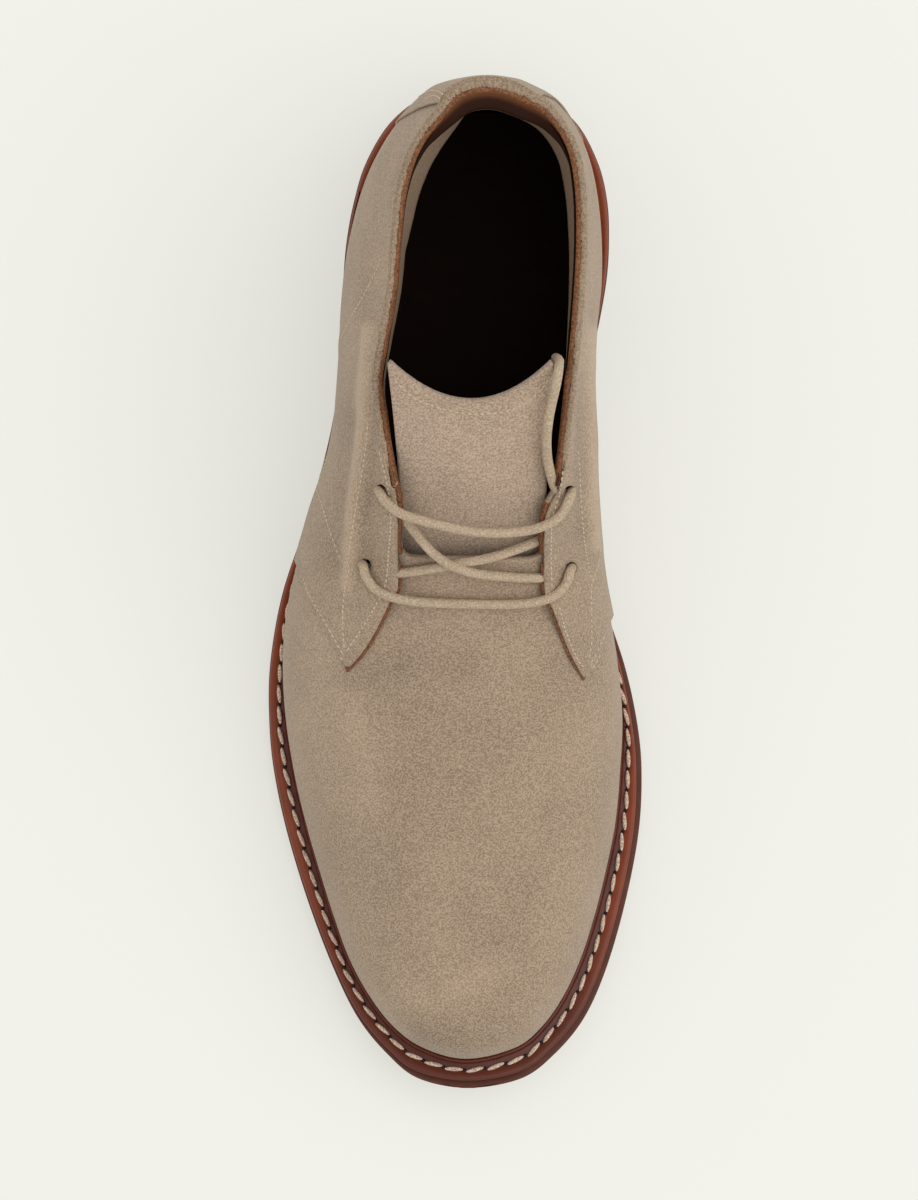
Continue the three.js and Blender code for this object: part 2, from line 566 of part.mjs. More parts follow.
function tongue() {
  const faces = new Faces();
  const rows = 14;
  const columns = 10;
  const last = TONGUE.length - 1;
  const column = (name, t) => {
    const list = TONGUE.map((row) => row[name]);
    return smooth(list, t, 2 * list[0] - list[1], 2 * list[last] - list[last - 1]);
  };
  const spot = (t, across) => {
    const half = across < 0 ? column('lateral', t) : column('medial', t) - TONGUE_MIDDLE;
    const centre = across < 0 ? column('lateral', t) + TONGUE_MIDDLE : half;
    const bow = across * across;
    return new THREE.Vector3(
      BALL_WIDTH * (TONGUE_MIDDLE + across * centre),
      SOLE_LENGTH * (column('along', t) - column('back', t) * bow),
      ANKLE_HEIGHT * (column('up', t) - column('drop', t) * bow),
    );
  };
  const grid = [];
  for (let i = 0; i <= rows; i += 1) {
    const line = [];
    const t = (last * i) / rows;
    for (let j = 0; j <= columns; j += 1) {
      const across = (2 * j) / columns - 1;
      const run = spot(Math.min(last, t + 0.05), across).sub(spot(Math.max(0, t - 0.05), across));
      const wide = spot(t, Math.min(1, across + 0.05)).sub(spot(t, Math.max(-1, across - 0.05)));
      const normal = wide.cross(run).normalize();
      if (normal.z < 0) normal.negate();
      const p = spot(t, across);
      line.push([faces.point(p), faces.point(p.clone().addScaledVector(normal, -TONGUE_THICK))]);
    }
    grid.push(line);
  }
  for (let i = 0; i < rows; i += 1) {
    for (let j = 0; j < columns; j += 1) {
      faces.quad(grid[i][j][0], grid[i + 1][j][0], grid[i + 1][j + 1][0], grid[i][j + 1][0]);
      faces.quad(grid[i][j][1], grid[i][j + 1][1], grid[i + 1][j + 1][1], grid[i + 1][j][1]);
    }
    faces.quad(grid[i][0][0], grid[i][0][1], grid[i + 1][0][1], grid[i + 1][0][0]);
    faces.quad(grid[i][columns][0], grid[i + 1][columns][0], grid[i + 1][columns][1], grid[i][columns][1]);
  }
  for (let j = 0; j < columns; j += 1) {
    faces.quad(grid[0][j][0], grid[0][j + 1][0], grid[0][j + 1][1], grid[0][j][1]);
    faces.quad(grid[rows][j][0], grid[rows][j][1], grid[rows][j + 1][1], grid[rows][j + 1][0]);
  }
  return faces.geometry();
}

function cordAlong(points, steps) {
  const ring = new THREE.Shape();
  const sides = 8;
  for (let i = 0; i < sides; i += 1) {
    const turn = (2 * Math.PI * i) / sides;
    const x = (LACE_THICK / 2) * Math.cos(turn);
    const y = (LACE_THICK / 2) * Math.sin(turn);
    if (i === 0) ring.moveTo(x, y);
    else ring.lineTo(x, y);
  }
  ring.closePath();
  const path = new THREE.CatmullRomCurve3(points);
  return new THREE.ExtrudeGeometry(ring, { steps, extrudePath: path, bevelEnabled: false });
}

function strand(table, steps) {
  const points = table.map(([across, along, height]) => {
    const spot = overInstep(across * BALL_WIDTH, along * SOLE_LENGTH);
    return spot.point.addScaledVector(spot.normal, height * LACE_THICK);
  });
  return solid(cordAlong(points, steps));
}

function tuckedEnd() {
  const points = TUCKED_END.map(([across, along, up]) => (
    new THREE.Vector3(across * BALL_WIDTH, along * SOLE_LENGTH, up * ANKLE_HEIGHT)));
  return fromSolid(solid(cordAlong(points, 26)));
}

const heelTop = (u) => seat(u) - OUTSOLE_THICK - GAP;
const pieces = [
  ['outsole', plate(SOLE_ROWS, 0, SOLE_ROWS.length - 1, 84, seat,
    (u) => seat(u) - OUTSOLE_THICK, 0, 0.6), COLOUR.sole],
  ['heel', plate(SOLE_ROWS, 0, 7, 28, heelTop, () => 0, 0.4, 1.2), COLOUR.heel],
  ['welt', welt(), COLOUR.welt],
  ['insole', plate(FOOT_ROWS, 0, lastRib, 50, (u) => seat(u) + SEAT_GAP + INSOLE_THICK,
    (u) => seat(u) + SEAT_GAP, WALL + 2 * GAP, 0), COLOUR.board],
  ['upper', upper(), COLOUR.suede],
  ['tongue', tongue(), COLOUR.tongue],
  ['lace_top_bar', fromSolid(strand(TOP_BAR, 22)), COLOUR.lace],
  ['lace_crossing', fromSolid(strand(CROSS_OVER, 18).add(strand(CROSS_UNDER, 18))), COLOUR.lace],
  ['lace_lower_bar', fromSolid(strand(LOWER_BAR, 24)), COLOUR.lace],
  ['lace_end_medial', tuckedEnd(), COLOUR.lace],
];

// Turn the plan's distance from the heel into Y, and put the middle of the sole's box at the origin.
function place(geometry) {
  const sole = { low: Infinity, high: -Infinity };
  for (let t = 0; t <= SOLE_ROWS.length - 1; t += 0.25) {
    sole.low = Math.min(sole.low, planPoint(SOLE_ROWS, t, -1).x);
    sole.high = Math.max(sole.high, planPoint(SOLE_ROWS, t, 1).x);
  }
  const made = geometry.clone();
  const at = made.attributes.position;
  for (let i = 0; i < at.count; i += 1) {
    at.setXYZ(i, at.getX(i) - (sole.low + sole.high) / 2, SOLE_LENGTH / 2 - at.getY(i), at.getZ(i));
  }
  const index = made.index.array;
  for (let i = 0; i < index.length; i += 3) {
    const kept = index[i];
    index[i] = index[i + 1];
    index[i + 1] = kept;
  }
  return made;
}

const boot = new THREE.Group();
boot.name = 'chukka_boot';
for (const [name, geometry, colour] of pieces) {
  const placed = place(geometry);
  placed.computeVertexNormals();
  const material = new THREE.MeshStandardMaterial({ color: colour, roughness: 0.8 });
  const mesh = new THREE.Mesh(placed, material);
  mesh.name = name;
  boot.add(mesh);
}
export default boot;
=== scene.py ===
# Chukka boot for the right foot. Metres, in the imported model's frame: X across with the medial
# side positive, Y along with the heel positive, Z up. Named sizes below are in millimetres.
import math
import random

import bmesh
import bpy
import numpy as np
from mathutils import Matrix, Vector, noise
from mathutils.bvhtree import BVHTree


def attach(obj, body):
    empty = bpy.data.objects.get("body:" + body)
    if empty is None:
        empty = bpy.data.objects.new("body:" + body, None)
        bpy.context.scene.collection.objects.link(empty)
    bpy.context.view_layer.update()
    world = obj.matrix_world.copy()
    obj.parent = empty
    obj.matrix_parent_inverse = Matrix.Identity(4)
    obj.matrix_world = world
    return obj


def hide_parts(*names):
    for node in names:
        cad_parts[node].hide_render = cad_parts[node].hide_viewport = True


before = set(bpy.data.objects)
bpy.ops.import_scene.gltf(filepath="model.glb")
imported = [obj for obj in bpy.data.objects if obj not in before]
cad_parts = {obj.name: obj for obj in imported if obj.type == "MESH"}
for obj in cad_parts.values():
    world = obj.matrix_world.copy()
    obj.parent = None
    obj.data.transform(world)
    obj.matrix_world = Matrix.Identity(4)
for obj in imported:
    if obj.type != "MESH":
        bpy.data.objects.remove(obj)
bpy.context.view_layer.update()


# Outsole: one leather sole cut to the outline of the last, with a heel seat, an arch and some
# toe spring. It is cemented and stitched to the welt, and its edge is waxed brown.
MM = 0.001
SOLE_LENGTH = 299
BALL_WIDTH = 112
ANKLE_HEIGHT = 121
HEEL_HEIGHT = 24
OUTSOLE_THICK = 6
TOE_SPRING = 13
GAP = 0.3
SEAT_GAP = 0.4

# shares of the sole's length from the heel, then of the ball width on each side
SOLE_EDGE = [
    # along, lateral, medial
    (0.000, -0.070, 0.070), (0.013, 0.061, 0.207), (0.041, 0.166, 0.315), (0.081, 0.233, 0.376),
    (0.120, 0.266, 0.402), (0.160, 0.286, 0.407), (0.200, 0.295, 0.400), (0.250, 0.300, 0.376),
    (0.310, 0.312, 0.340), (0.370, 0.344, 0.326), (0.440, 0.400, 0.341), (0.510, 0.463, 0.392),
    (0.580, 0.496, 0.455), (0.640, 0.498, 0.490), (0.690, 0.484, 0.501), (0.750, 0.449, 0.492),
    (0.820, 0.391, 0.455), (0.885, 0.323, 0.403), (0.933, 0.257, 0.343), (0.968, 0.178, 0.263),
    (0.991, 0.096, 0.175), (1.000, -0.035, 0.035),
]
SOLE_LAST = len(SOLE_EDGE) - 1
SOLE_MIDDLE = 0.04


def mix(a, b, f):
    return a + (b - a) * f


def eased(value, low, high):
    f = min(1.0, max(0.0, (value - low) / (high - low)))
    return f * f * (3 - 2 * f)


def curve(a, b, c, d, f):
    """A smooth step from b to c, with a before them and d after."""
    return 0.5 * (2 * b + (c - a) * f + (2 * a - 5 * b + 4 * c - d) * f * f
                  + (3 * b - a - 3 * c + d) * f ** 3)


def smooth(values, t, before, after):
    """A smooth value at position t of a list; before and after stand past its two ends."""
    i = max(0, min(int(t), len(values) - 2))
    a = values[i - 1] if i > 0 else before
    d = values[i + 2] if i + 2 < len(values) else after
    return curve(a, values[i], values[i + 1], d, t - i)


def edge_point(rows, t, side, closes=True):
    """Plan point (across, from the heel) of an outline at position t, on one side.

    An outline closes round its last row, or runs straight on past it.
    """
    last = len(rows) - 1
    own, other = (1, 2) if side < 0 else (2, 1)
    along, across = [row[0] for row in rows], [row[own] for row in rows]
    past = (along[last - 1], -rows[last - 1][other])
    if not closes:
        past = [2 * column[last] - column[last - 1] for column in (along, across)]
    return Vector((side * BALL_WIDTH * smooth(across, t, -rows[1][other], past[1]),
                   SOLE_LENGTH * smooth(along, t, along[1], past[0])))


def outwards(rows, t, side):
    """Plan direction square to an outline, away from the boot."""
    last = len(rows) - 1
    run = edge_point(rows, min(last, t + 0.02), side) - edge_point(rows, max(0, t - 0.02), side)
    if t < 0.02 or t > last - 0.02:
        run.y = 0
    return side * Vector((run.y, -run.x)).normalized()


def seat(u):
    """Height of the outsole's top face at a distance from the back of the heel."""
    share = u / SOLE_LENGTH
    arch = eased(share, 0.20, 0.64)
    spring = max(0, (share - 0.735) / 0.265)
    return OUTSOLE_THICK + (HEEL_HEIGHT + GAP) * (1 - arch) + TOE_SPRING * spring ** 2


reaches = [[edge_point(SOLE_EDGE, k / 4, side).x for k in range(4 * SOLE_LAST + 1)] for side in (-1, 1)]
MIDDLE = (min(reaches[0]) + max(reaches[1])) / 2


def placed(x, u, z):
    """A point of the boot in the frame, in metres."""
    return Vector((x - MIDDLE, SOLE_LENGTH / 2 - u, z)) * MM


def in_plan(co):
    """The other way: across and from the heel, in millimetres."""
    return co.x / MM + MIDDLE, SOLE_LENGTH / 2 - co.y / MM


class Value:
    """A number that changes over a surface. Sums and products of it add Math nodes."""

    def __init__(self, look, socket):
        self.look = look
        self.socket = socket

    def maths(self, operation, *others):
        return self.look.node("ShaderNodeMath", {"operation": operation}, dict(enumerate(others)))

    def __add__(self, other):
        return self.maths("ADD", self, other)

    def __sub__(self, other):
        return self.maths("SUBTRACT", self, other)

    def __rsub__(self, other):
        return self.maths("SUBTRACT", other, self)

    def __mul__(self, other):
        return self.maths("MULTIPLY", self, other)

    __radd__ = __add__
    __rmul__ = __mul__

    def over(self, low, high):
        """0 below low, 1 above high, smooth between."""
        settings = {"interpolation_type": "SMOOTHSTEP"}
        return self.look.node("ShaderNodeMapRange", settings, {0: self, 1: low, 2: high, 3: 0.0, 4: 1.0})


class Look:
    """A material made from nodes around its surface shader."""

    def __init__(self, name, **constants):
        self.material = bpy.data.materials.new(name)
        self.material.use_nodes = True
        self.tree = self.material.node_tree
        self.surface = self.tree.nodes["Principled BSDF"]
        for socket, value in constants.items():
            self.surface.inputs[socket.replace("_", " ")].default_value = value
        self.place = self.node("ShaderNodeTexCoord", {}, {}, "Object")
        self.axes = [self.node("ShaderNodeSeparateXYZ", {}, {0: self.place}, axis) for axis in "XYZ"]

    def node(self, kind, settings, inputs, output=0):
        made = self.tree.nodes.new(kind)
        for name, value in settings.items():
            setattr(made, name, value)
        for key, value in inputs.items():
            if isinstance(value, Value):
                self.tree.links.new(value.socket, made.inputs[key])
            else:
                made.inputs[key].default_value = value
        return Value(self, made.outputs[output])

    def feed(self, socket, value):
        self.tree.links.new(value.socket, self.surface.inputs[socket])

    def noise(self, size, detail=2.0, stretch=(1, 1, 1)):
        """A cloudy pattern from 0 to 1, its spots about size mm across."""
        place = self.node("ShaderNodeVectorMath", {"operation": "MULTIPLY"}, {0: self.place, 1: stretch})
        return self.node("ShaderNodeTexNoise", {}, {"Vector": place, "Scale": 1000 / size, "Detail": detail})

    def blend(self, factor, a, b):
        return self.node("ShaderNodeMix", {"data_type": "RGBA"}, {0: factor, 6: a, 7: b}, 2)

    def bump(self, height, strength, distance):
        inputs = {"Height": height, "Strength": strength, "Distance": distance * MM}
        self.feed("Normal", self.node("ShaderNodeBump", {}, inputs))


def shade(red, green, blue):
    """A colour read on the 0 to 255 scale, made linear."""
    shares = [c / 255 for c in (red, green, blue)]
    return (*[c / 12.92 if c < 0.04045 else ((c + 0.055) / 1.055) ** 2.4 for c in shares], 1.0)


def piece_from(bm, name, nodes, looks):
    """Turn a finished bmesh into a piece that rides with the boot."""
    for part in bm.faces:
        part.smooth = True
    mesh = bpy.data.meshes.new(name)
    bm.to_mesh(mesh)
    bm.free()
    for look in looks:
        mesh.materials.append(look.material)
    made = bpy.data.objects.new(name, mesh)
    bpy.context.scene.collection.objects.link(made)
    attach(made, "root")
    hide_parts(*nodes)
    return made


def slab(rows, t_end, top, bottom, inset, draw_in, along, round_top=0.8):
    """A layer of the sole: a grid laid between its two sides, drawn down, with rounded corners.

    It starts inset from its outline, and its lower face is drawn in a little more.
    """
    bm = bmesh.new()
    bmesh.ops.create_grid(bm, x_segments=8, y_segments=along, size=1)
    for vert in bm.verts:
        gx, t = (vert.co.x + 1) / 2, (vert.co.y + 1) / 2 * t_end
        sides = [edge_point(rows, t, side) - outwards(rows, t, side) * inset for side in (-1, 1)]
        spot = sides[0].lerp(sides[1], gx)
        vert.co = placed(spot.x, spot.y, top(spot.y))
    bmesh.ops.remove_doubles(bm, verts=bm.verts, dist=0.01 * MM)
    grown = bmesh.ops.extrude_face_region(bm, geom=bm.faces[:])
    centre = placed(SOLE_MIDDLE * BALL_WIDTH, 0, 0).x
    for vert in [g for g in grown["geom"] if isinstance(g, bmesh.types.BMVert)]:
        u = in_plan(vert.co)[1]
        vert.co.x = mix(vert.co.x, centre, 2 * draw_in / BALL_WIDTH)
        vert.co.z = bottom(u) * MM
    bmesh.ops.recalc_face_normals(bm, faces=bm.faces)
    corners = [e for e in bm.edges if len(e.link_faces) == 2 and e.calc_face_angle(0) > 0.9]
    bmesh.ops.bevel(bm, geom=corners, offset=round_top * MM, offset_type="OFFSET", affect="EDGES",
                    segments=3, profile=0.5, material=-1)
    bmesh.ops.remove_doubles(bm, verts=bm.verts, dist=0.01 * MM)
    bmesh.ops.recalc_face_normals(bm, faces=bm.faces)
    return bm


edge_wax = Look("waxed_sole_edge", Roughness=0.5, Specular_IOR_Level=0.22)
streak = edge_wax.noise(1.2, 3.0, (0.25, 0.25, 1.6))
wear_and_painted_light = edge_wax.noise(9.0, 2.0)
edge_wax.feed("Base Color", edge_wax.blend(
    streak * 0.6 + wear_and_painted_light * 0.4, shade(66, 32, 23), shade(112, 66, 50)))
edge_wax.feed("Roughness", 0.40 + wear_and_painted_light * 0.3)
edge_wax.bump(streak, 0.35, 0.25)

outsole_bm = slab(SOLE_EDGE, SOLE_LAST, seat, lambda u: seat(u) - OUTSOLE_THICK, 0, 0.6, 160)
piece_from(outsole_bm, "outsole_leather", ["outsole"], [edge_wax])


# Heel: layers of heel leather glued and nailed up under the heel seat, ending in a rubber top
# piece. Its sides are trimmed flush with the sole and burnished dark.
HEEL_END = 7  # row of the sole's outline at the heel's straight breast
LIFT_THICK = 4

heel_stack = Look("stacked_heel", Roughness=0.4, Specular_IOR_Level=0.35)
lift = heel_stack.axes[2] * (1000 / LIFT_THICK)
joint = lift.maths("PINGPONG", lift, 0.5).over(0.0, 0.07)
grain = heel_stack.noise(1.5, 3.0, (0.3, 0.3, 2.0))
leather = heel_stack.blend(grain, shade(66, 40, 27), shade(92, 58, 41))
heel_stack.feed("Base Color", heel_stack.blend(joint, shade(28, 17, 12), leather))
heel_stack.bump(joint * 0.6 + grain * 0.4, 0.4, 0.3)

heel_bm = slab(SOLE_EDGE, HEEL_END, lambda u: seat(u) - OUTSOLE_THICK - GAP, lambda u: 0, 0.4, 1.2, 70)
piece_from(heel_bm, "heel_lifts", ["heel"], [heel_stack])


# Upper, the shape that all its layers share: suede and its backing are pulled over the last and
# fixed under it. Sections run over the last, each from the sole up to the collar, or in front up
# to the ridge of the instep.
WALL = 1.8
OVERLAY = 1.2
BACK_STEP = 0.7
REAR_RIBS = [
    # foot (along, lateral, medial), then top (along, lateral, medial, up)
    ((0.0245, -0.082, 0.082), (0.038, -0.080, 0.080, 1.000)),
    ((0.0335, 0.062, 0.229), (0.044, -0.012, 0.152, 0.999)),
    ((0.0535, 0.134, 0.286), (0.062, 0.035, 0.237, 0.995)),
    ((0.084, 0.190, 0.328), (0.093, 0.096, 0.292, 0.987)),
    ((0.122, 0.232, 0.353), (0.131, 0.131, 0.313, 0.979)),
    ((0.174, 0.264, 0.364), (0.177, 0.146, 0.317, 0.971)),
    ((0.227, 0.280, 0.357), (0.224, 0.156, 0.312, 0.961)),
    ((0.281, 0.284, 0.320), (0.271, 0.177, 0.302, 0.949)),
    ((0.328, 0.290, 0.294), (0.311, 0.192, 0.292, 0.938)),
    ((0.368, 0.306, 0.284), (0.348, 0.184, 0.281, 0.926)),
    ((0.401, 0.326, 0.286), (0.381, 0.166, 0.270, 0.909)),
    ((0.431, 0.349, 0.297), (0.408, 0.150, 0.257, 0.888)),
]
FRONT_RIBS = [
    ((0.462, 0.374, 0.317), (0.428, -0.042, 0.042, 0.930)),
    ((0.495, 0.399, 0.343), (0.465, -0.042, 0.042, 0.802)),
    ((0.535, 0.420, 0.377), (0.502, -0.040, 0.040, 0.731)),
    ((0.582, 0.433, 0.407), (0.545, -0.033, 0.033, 0.661)),
    ((0.635, 0.430, 0.427), (0.592, -0.024, 0.024, 0.602)),
    ((0.689, 0.410, 0.425), (0.639, -0.016, 0.016, 0.554)),
    ((0.739, 0.379, 0.413), (0.682, -0.012, 0.012, 0.517)),
    ((0.786, 0.344, 0.388), (0.722, -0.012, 0.012, 0.488)),
    ((0.829, 0.309, 0.359), (0.759, -0.014, 0.014, 0.463)),
    ((0.870, 0.269, 0.323), (0.793, -0.018, 0.018, 0.442)),
    ((0.906, 0.216, 0.278), (0.823, -0.022, 0.022, 0.421)),
    ((0.935, 0.155, 0.223), (0.846, -0.025, 0.025, 0.405)),
    ((0.955, 0.080, 0.155), (0.863, -0.027, 0.027, 0.392)),
    ((0.9655, -0.030, 0.030), (0.871, -0.028, 0.028, 0.384)),
]
PROFILES = [
    # rib, then inwards, lateral push, medial push and upwards of three points of its rise
    (0, (0.05, 0.004, 0.004, 0.33), (0.25, 0.000, 0.000, 0.66), (0.62, 0.000, 0.000, 0.86)),
    (3, (0.05, 0.004, 0.004, 0.33), (0.35, 0.006, 0.004, 0.67), (0.75, 0.004, 0.003, 0.87)),
    (6, (0.05, 0.009, 0.009, 0.33), (0.35, 0.014, 0.010, 0.67), (0.75, 0.009, 0.005, 0.87)),
    (9, (0.05, 0.020, 0.066, 0.33), (0.35, 0.024, 0.066, 0.66), (0.75, 0.018, 0.031, 0.86)),
    (11, (0.05, 0.034, 0.063, 0.32), (0.35, 0.043, 0.071, 0.64), (0.75, 0.038, 0.047, 0.85)),
    (12, (0.05, 0.044, 0.066, 0.28), (0.15, 0.030, 0.084, 0.58), (0.42, 0.035, 0.100, 0.79)),
    (14, (0.05, 0.048, 0.047, 0.28), (0.18, 0.036, 0.064, 0.62), (0.50, 0.028, 0.054, 0.87)),
    (17, (0.05, 0.034, 0.031, 0.27), (0.20, 0.027, 0.036, 0.64), (0.55, 0.011, 0.028, 0.90)),
    (21, (0.05, 0.026, 0.026, 0.30), (0.20, 0.022, 0.022, 0.70), (0.55, 0.007, 0.007, 0.92)),
    (25, (0.05, 0.021, 0.021, 0.30), (0.20, 0.018, 0.018, 0.70), (0.55, 0.007, 0.007, 0.92)),
]
CREST = len(REAR_RIBS)
LAST_RIB = CREST + len(FRONT_RIBS) - 1
FOOT_ROWS = [foot for foot, top in REAR_RIBS + FRONT_RIBS]
COLLAR_ROWS = [top for foot, top in REAR_RIBS]
RIDGE_ROWS = [top for foot, top in FRONT_RIBS]
known_ribs = {}


def profile(t):
    """The three shaping points of a rib, eased between the two profiles round it."""
    k = 0
    while k < len(PROFILES) - 2 and PROFILES[k + 1][0] <= t:
        k += 1
    low, high = PROFILES[k], PROFILES[k + 1]
    f = min(1, max(0, (t - low[0]) / (high[0] - low[0])))
    if high[0] - low[0] > 1:
        f = mix(f, f * f * (3 - 2 * f), 0.5)
    return [[mix(a, b, f) for a, b in zip(low[j], high[j])] for j in (1, 2, 3)]


def rib(t, side):
    """Foot, three shaping points and top of the rib at position t."""
    key = (round(t, 5), side)
    if key in known_ribs:
        return known_ribs[key]
    if CREST - 1 < t < CREST:
        pairs = zip(rib(CREST - 1, side), rib(CREST, side))
        known_ribs[key] = [a.lerp(b, t - CREST + 1) for a, b in pairs]
        return known_ribs[key]
    rows, at = (COLLAR_ROWS, t) if t < CREST else (RIDGE_ROWS, t - CREST)
    foot = edge_point(FOOT_ROWS, t, side)
    top = edge_point([row[:3] for row in rows], at, side, closes=t > CREST - 0.5)
    ups = [row[3] for row in rows]
    top_up = ANKLE_HEIGHT * smooth(ups, at, ups[1], ups[-2])
    foot_up = seat(foot.y) + SEAT_GAP
    out = outwards(FOOT_ROWS, t, side)
    points = [Vector((foot.x, foot.y, foot_up))]
    for share, lateral, medial, up in profile(t):
        spot = foot.lerp(top, share) + out * BALL_WIDTH * (lateral if side < 0 else medial)
        points.append(Vector((spot.x, spot.y, mix(foot_up, top_up, up))))
    points.append(Vector((top.x, top.y, top_up)))
    known_ribs[key] = points
    return points


def face(t, w, side):
    """A point of the upper's outer face: t picks the rib, w runs from its foot (0) to its top (4)."""
    points = rib(t, side)
    before = points[0] * 2 - points[1]
    after = rib(t, -side)[3] if t > CREST - 0.5 else points[4] * 2 - points[3]
    return smooth(points, w, before, after)


# Welt: a strip of red-brown leather sewn round the upper's edge and down to the sole. It stands
# up in a small lip against the upper, and is polished.
WELT_THICK = 3
LIP_WIDTH = 1.5
LIP_RISE = 1.2
STEP_IN = {"lateral": 0.5, "medial": 1.8, "toe": 2.4, "heel": 0.5}  # from the sole's edge
WELT_SECTION = [
    # share of the way from the upper to the lip, then on to the rim, mm outwards, height, mm up
    (0, 0.00, 0.0, 0, 0.0), (0, 0.00, 0.0, 1, -0.4), (0, 0.00, 0.3, 2, 0.0), (1, 0.00, -0.4, 2, 0.0),
    (1, 0.00, 0.0, 2, -0.4), (1, 0.00, 0.1, 1, 0.15), (1, 0.10, 0.0, 1, -0.15), (1, 0.26, 0.0, 1, -0.25),
    (1, 0.42, 0.0, 1, -0.45), (1, 0.58, 0.0, 1, -0.15), (1, 0.80, 0.0, 1, 0.05), (1, 1.00, -0.8, 1, 0.0),
    (1, 1.00, -0.2, 1, -0.35), (1, 1.00, 0.0, 1, -1.0), (1, 1.00, 0.0, 0, 0.5), (1, 1.00, -0.4, 0, 0.0),
]
FINE = 400  # steps in which the length of an outline is measured


def reach_of(rows, side):
    """Length of one side of an outline from the heel to each of its positions."""
    last = len(rows) - 1
    points = [edge_point(rows, last * i / FINE, side) for i in range(FINE + 1)]
    reach = [0.0]
    for a, b in zip(points, points[1:]):
        reach.append(reach[-1] + (b - a).length)
    return reach


foot_reach = {side: reach_of(FOOT_ROWS, side) for side in (-1, 1)}
sole_reach = {side: reach_of(SOLE_EDGE, side) for side in (-1, 1)}


def edge_beside(t, side):
    """Position on the sole's edge that is the same share of the way round as a rib's foot."""
    spot = t / LAST_RIB * FINE
    share = np.interp(spot, range(FINE + 1), foot_reach[side]) / foot_reach[side][-1]
    return SOLE_LAST * np.interp(share * sole_reach[side][-1], sole_reach[side], range(FINE + 1)) / FINE


def welt_rails(t, side):
    """Plan points of the welt beside the upper, at the lip and at the rim, and the lip's rise."""
    beside = edge_beside(t, side)
    edge = edge_point(SOLE_EDGE, beside, side)
    out = outwards(SOLE_EDGE, beside, side)
    medial = mix(STEP_IN["heel"], STEP_IN["medial"], eased(edge.y / SOLE_LENGTH, 0.48, 0.62))
    step = (STEP_IN["lateral"] * max(0, -out.x) ** 2 + medial * max(0, out.x) ** 2
            + STEP_IN["toe"] * max(0, out.y) ** 2 + STEP_IN["heel"] * max(0, -out.y) ** 2)
    foot = edge_point(FOOT_ROWS, t, side)
    away = outwards(FOOT_ROWS, t, side)
    start = face(t, 0, side)
    lean = 0
    for k in range(20):
        p = face(t, 0.05 * k, side)
        if p.z - start.z > WELT_THICK + LIP_RISE + GAP:
            break
        lean = max(lean, (p.xy - foot).dot(away))
    near = foot + away * (lean + GAP)
    fore = eased(foot.y / SOLE_LENGTH, 0.55, 0.63)
    lip = near + away * LIP_WIDTH * mix(0.4, 1, fore)
    return near, lip, edge - out * step, 0.1 + LIP_RISE * fore


def round_boot(gx):
    """Rib position and side at a share gx from -1 (heel) over 0 (toe) to 1 (heel again)."""
    return LAST_RIB * (1 - abs(gx)), -1 if gx < 0 else 1


cognac = Look("red_brown_welt_leather", Roughness=0.42, Specular_IOR_Level=0.32, Coat_Weight=0.12,
              Coat_Roughness=0.25)
stain = cognac.noise(7.0, 3.0)
pores = cognac.noise(0.7, 2.0)
mottle = stain * 0.7 + pores * 0.3
to_rim = cognac.node("ShaderNodeAttribute", {"attribute_name": "to_rim"}, {}, "Fac")
# painted light: the welt's sides are coloured as lit and its toe darker as in shade; the inner band beside
# the upper is darker as painted shade
sides = cognac.blend(mottle, shade(104, 41, 17), shade(150, 66, 29))
toe = cognac.blend(mottle, shade(66, 24, 12), shade(112, 46, 22))
inner = cognac.blend(mottle, shade(66, 24, 13), shade(108, 44, 22))
outer = cognac.blend(cognac.axes[1].over(-0.140, -0.085), toe, sides)
cognac.feed("Base Color", cognac.blend(to_rim.over(0.30, 0.55), inner, outer))
cognac.bump(pores * 0.5 + cognac.noise(2.5, 2.0) * 0.5, 0.3, 0.15)

welt_bm = bmesh.new()
bmesh.ops.create_grid(welt_bm, x_segments=420, y_segments=len(WELT_SECTION), size=1)
rails = {}
share = welt_bm.verts.layers.float.new("to_rim")
for vert in welt_bm.verts:
    gx, row = round(vert.co.x, 6), round((vert.co.y + 1) / 2 * len(WELT_SECTION)) % len(WELT_SECTION)
    if gx not in rails:
        rails[gx] = welt_rails(*round_boot(gx))
    near, lip, rim, rise = rails[gx]
    along_lip, along_rim, out, level, up = WELT_SECTION[row]
    vert[share] = along_rim
    spot = near.lerp(lip, along_lip).lerp(rim, along_rim) + (rim - near).normalized() * out
    height = (0, WELT_THICK, WELT_THICK + rise)[level] + up
    vert.co = placed(spot.x, spot.y, seat(spot.y) + SEAT_GAP + height)
bmesh.ops.remove_doubles(welt_bm, verts=welt_bm.verts, dist=0.005 * MM)
bmesh.ops.recalc_face_normals(welt_bm, faces=welt_bm.faces)
piece_from(welt_bm, "welt_strip", ["welt"], [cognac])


# Welt stitches: thick beige linen thread, one lock stitch after another through welt and sole.
# They run from the lateral waist round the toe to the medial waist, with an awl hole between two,
# drawn as a dark dot of painted shade.
# first and last are shares of the way from the toe back to the heel, across is from lip to rim
WELT_ROW = {"first": -0.53, "last": 0.44, "across": 0.40}
WELT_STITCH = {"pitch": 6.2, "length": 5.6, "thick": 1.35}
WELT_HOLE_SHADE = {"pitch": 6.2, "length": 1.2, "thick": 1.1}

linen = Look("beige_linen_thread", Roughness=0.85, Specular_IOR_Level=0.2)
twist = linen.noise(0.5, 2.0)
linen.feed("Base Color", linen.blend(twist.over(0.3, 0.7), shade(166, 138, 118), shade(236, 214, 194)))
linen.bump(twist, 0.6, 0.3)


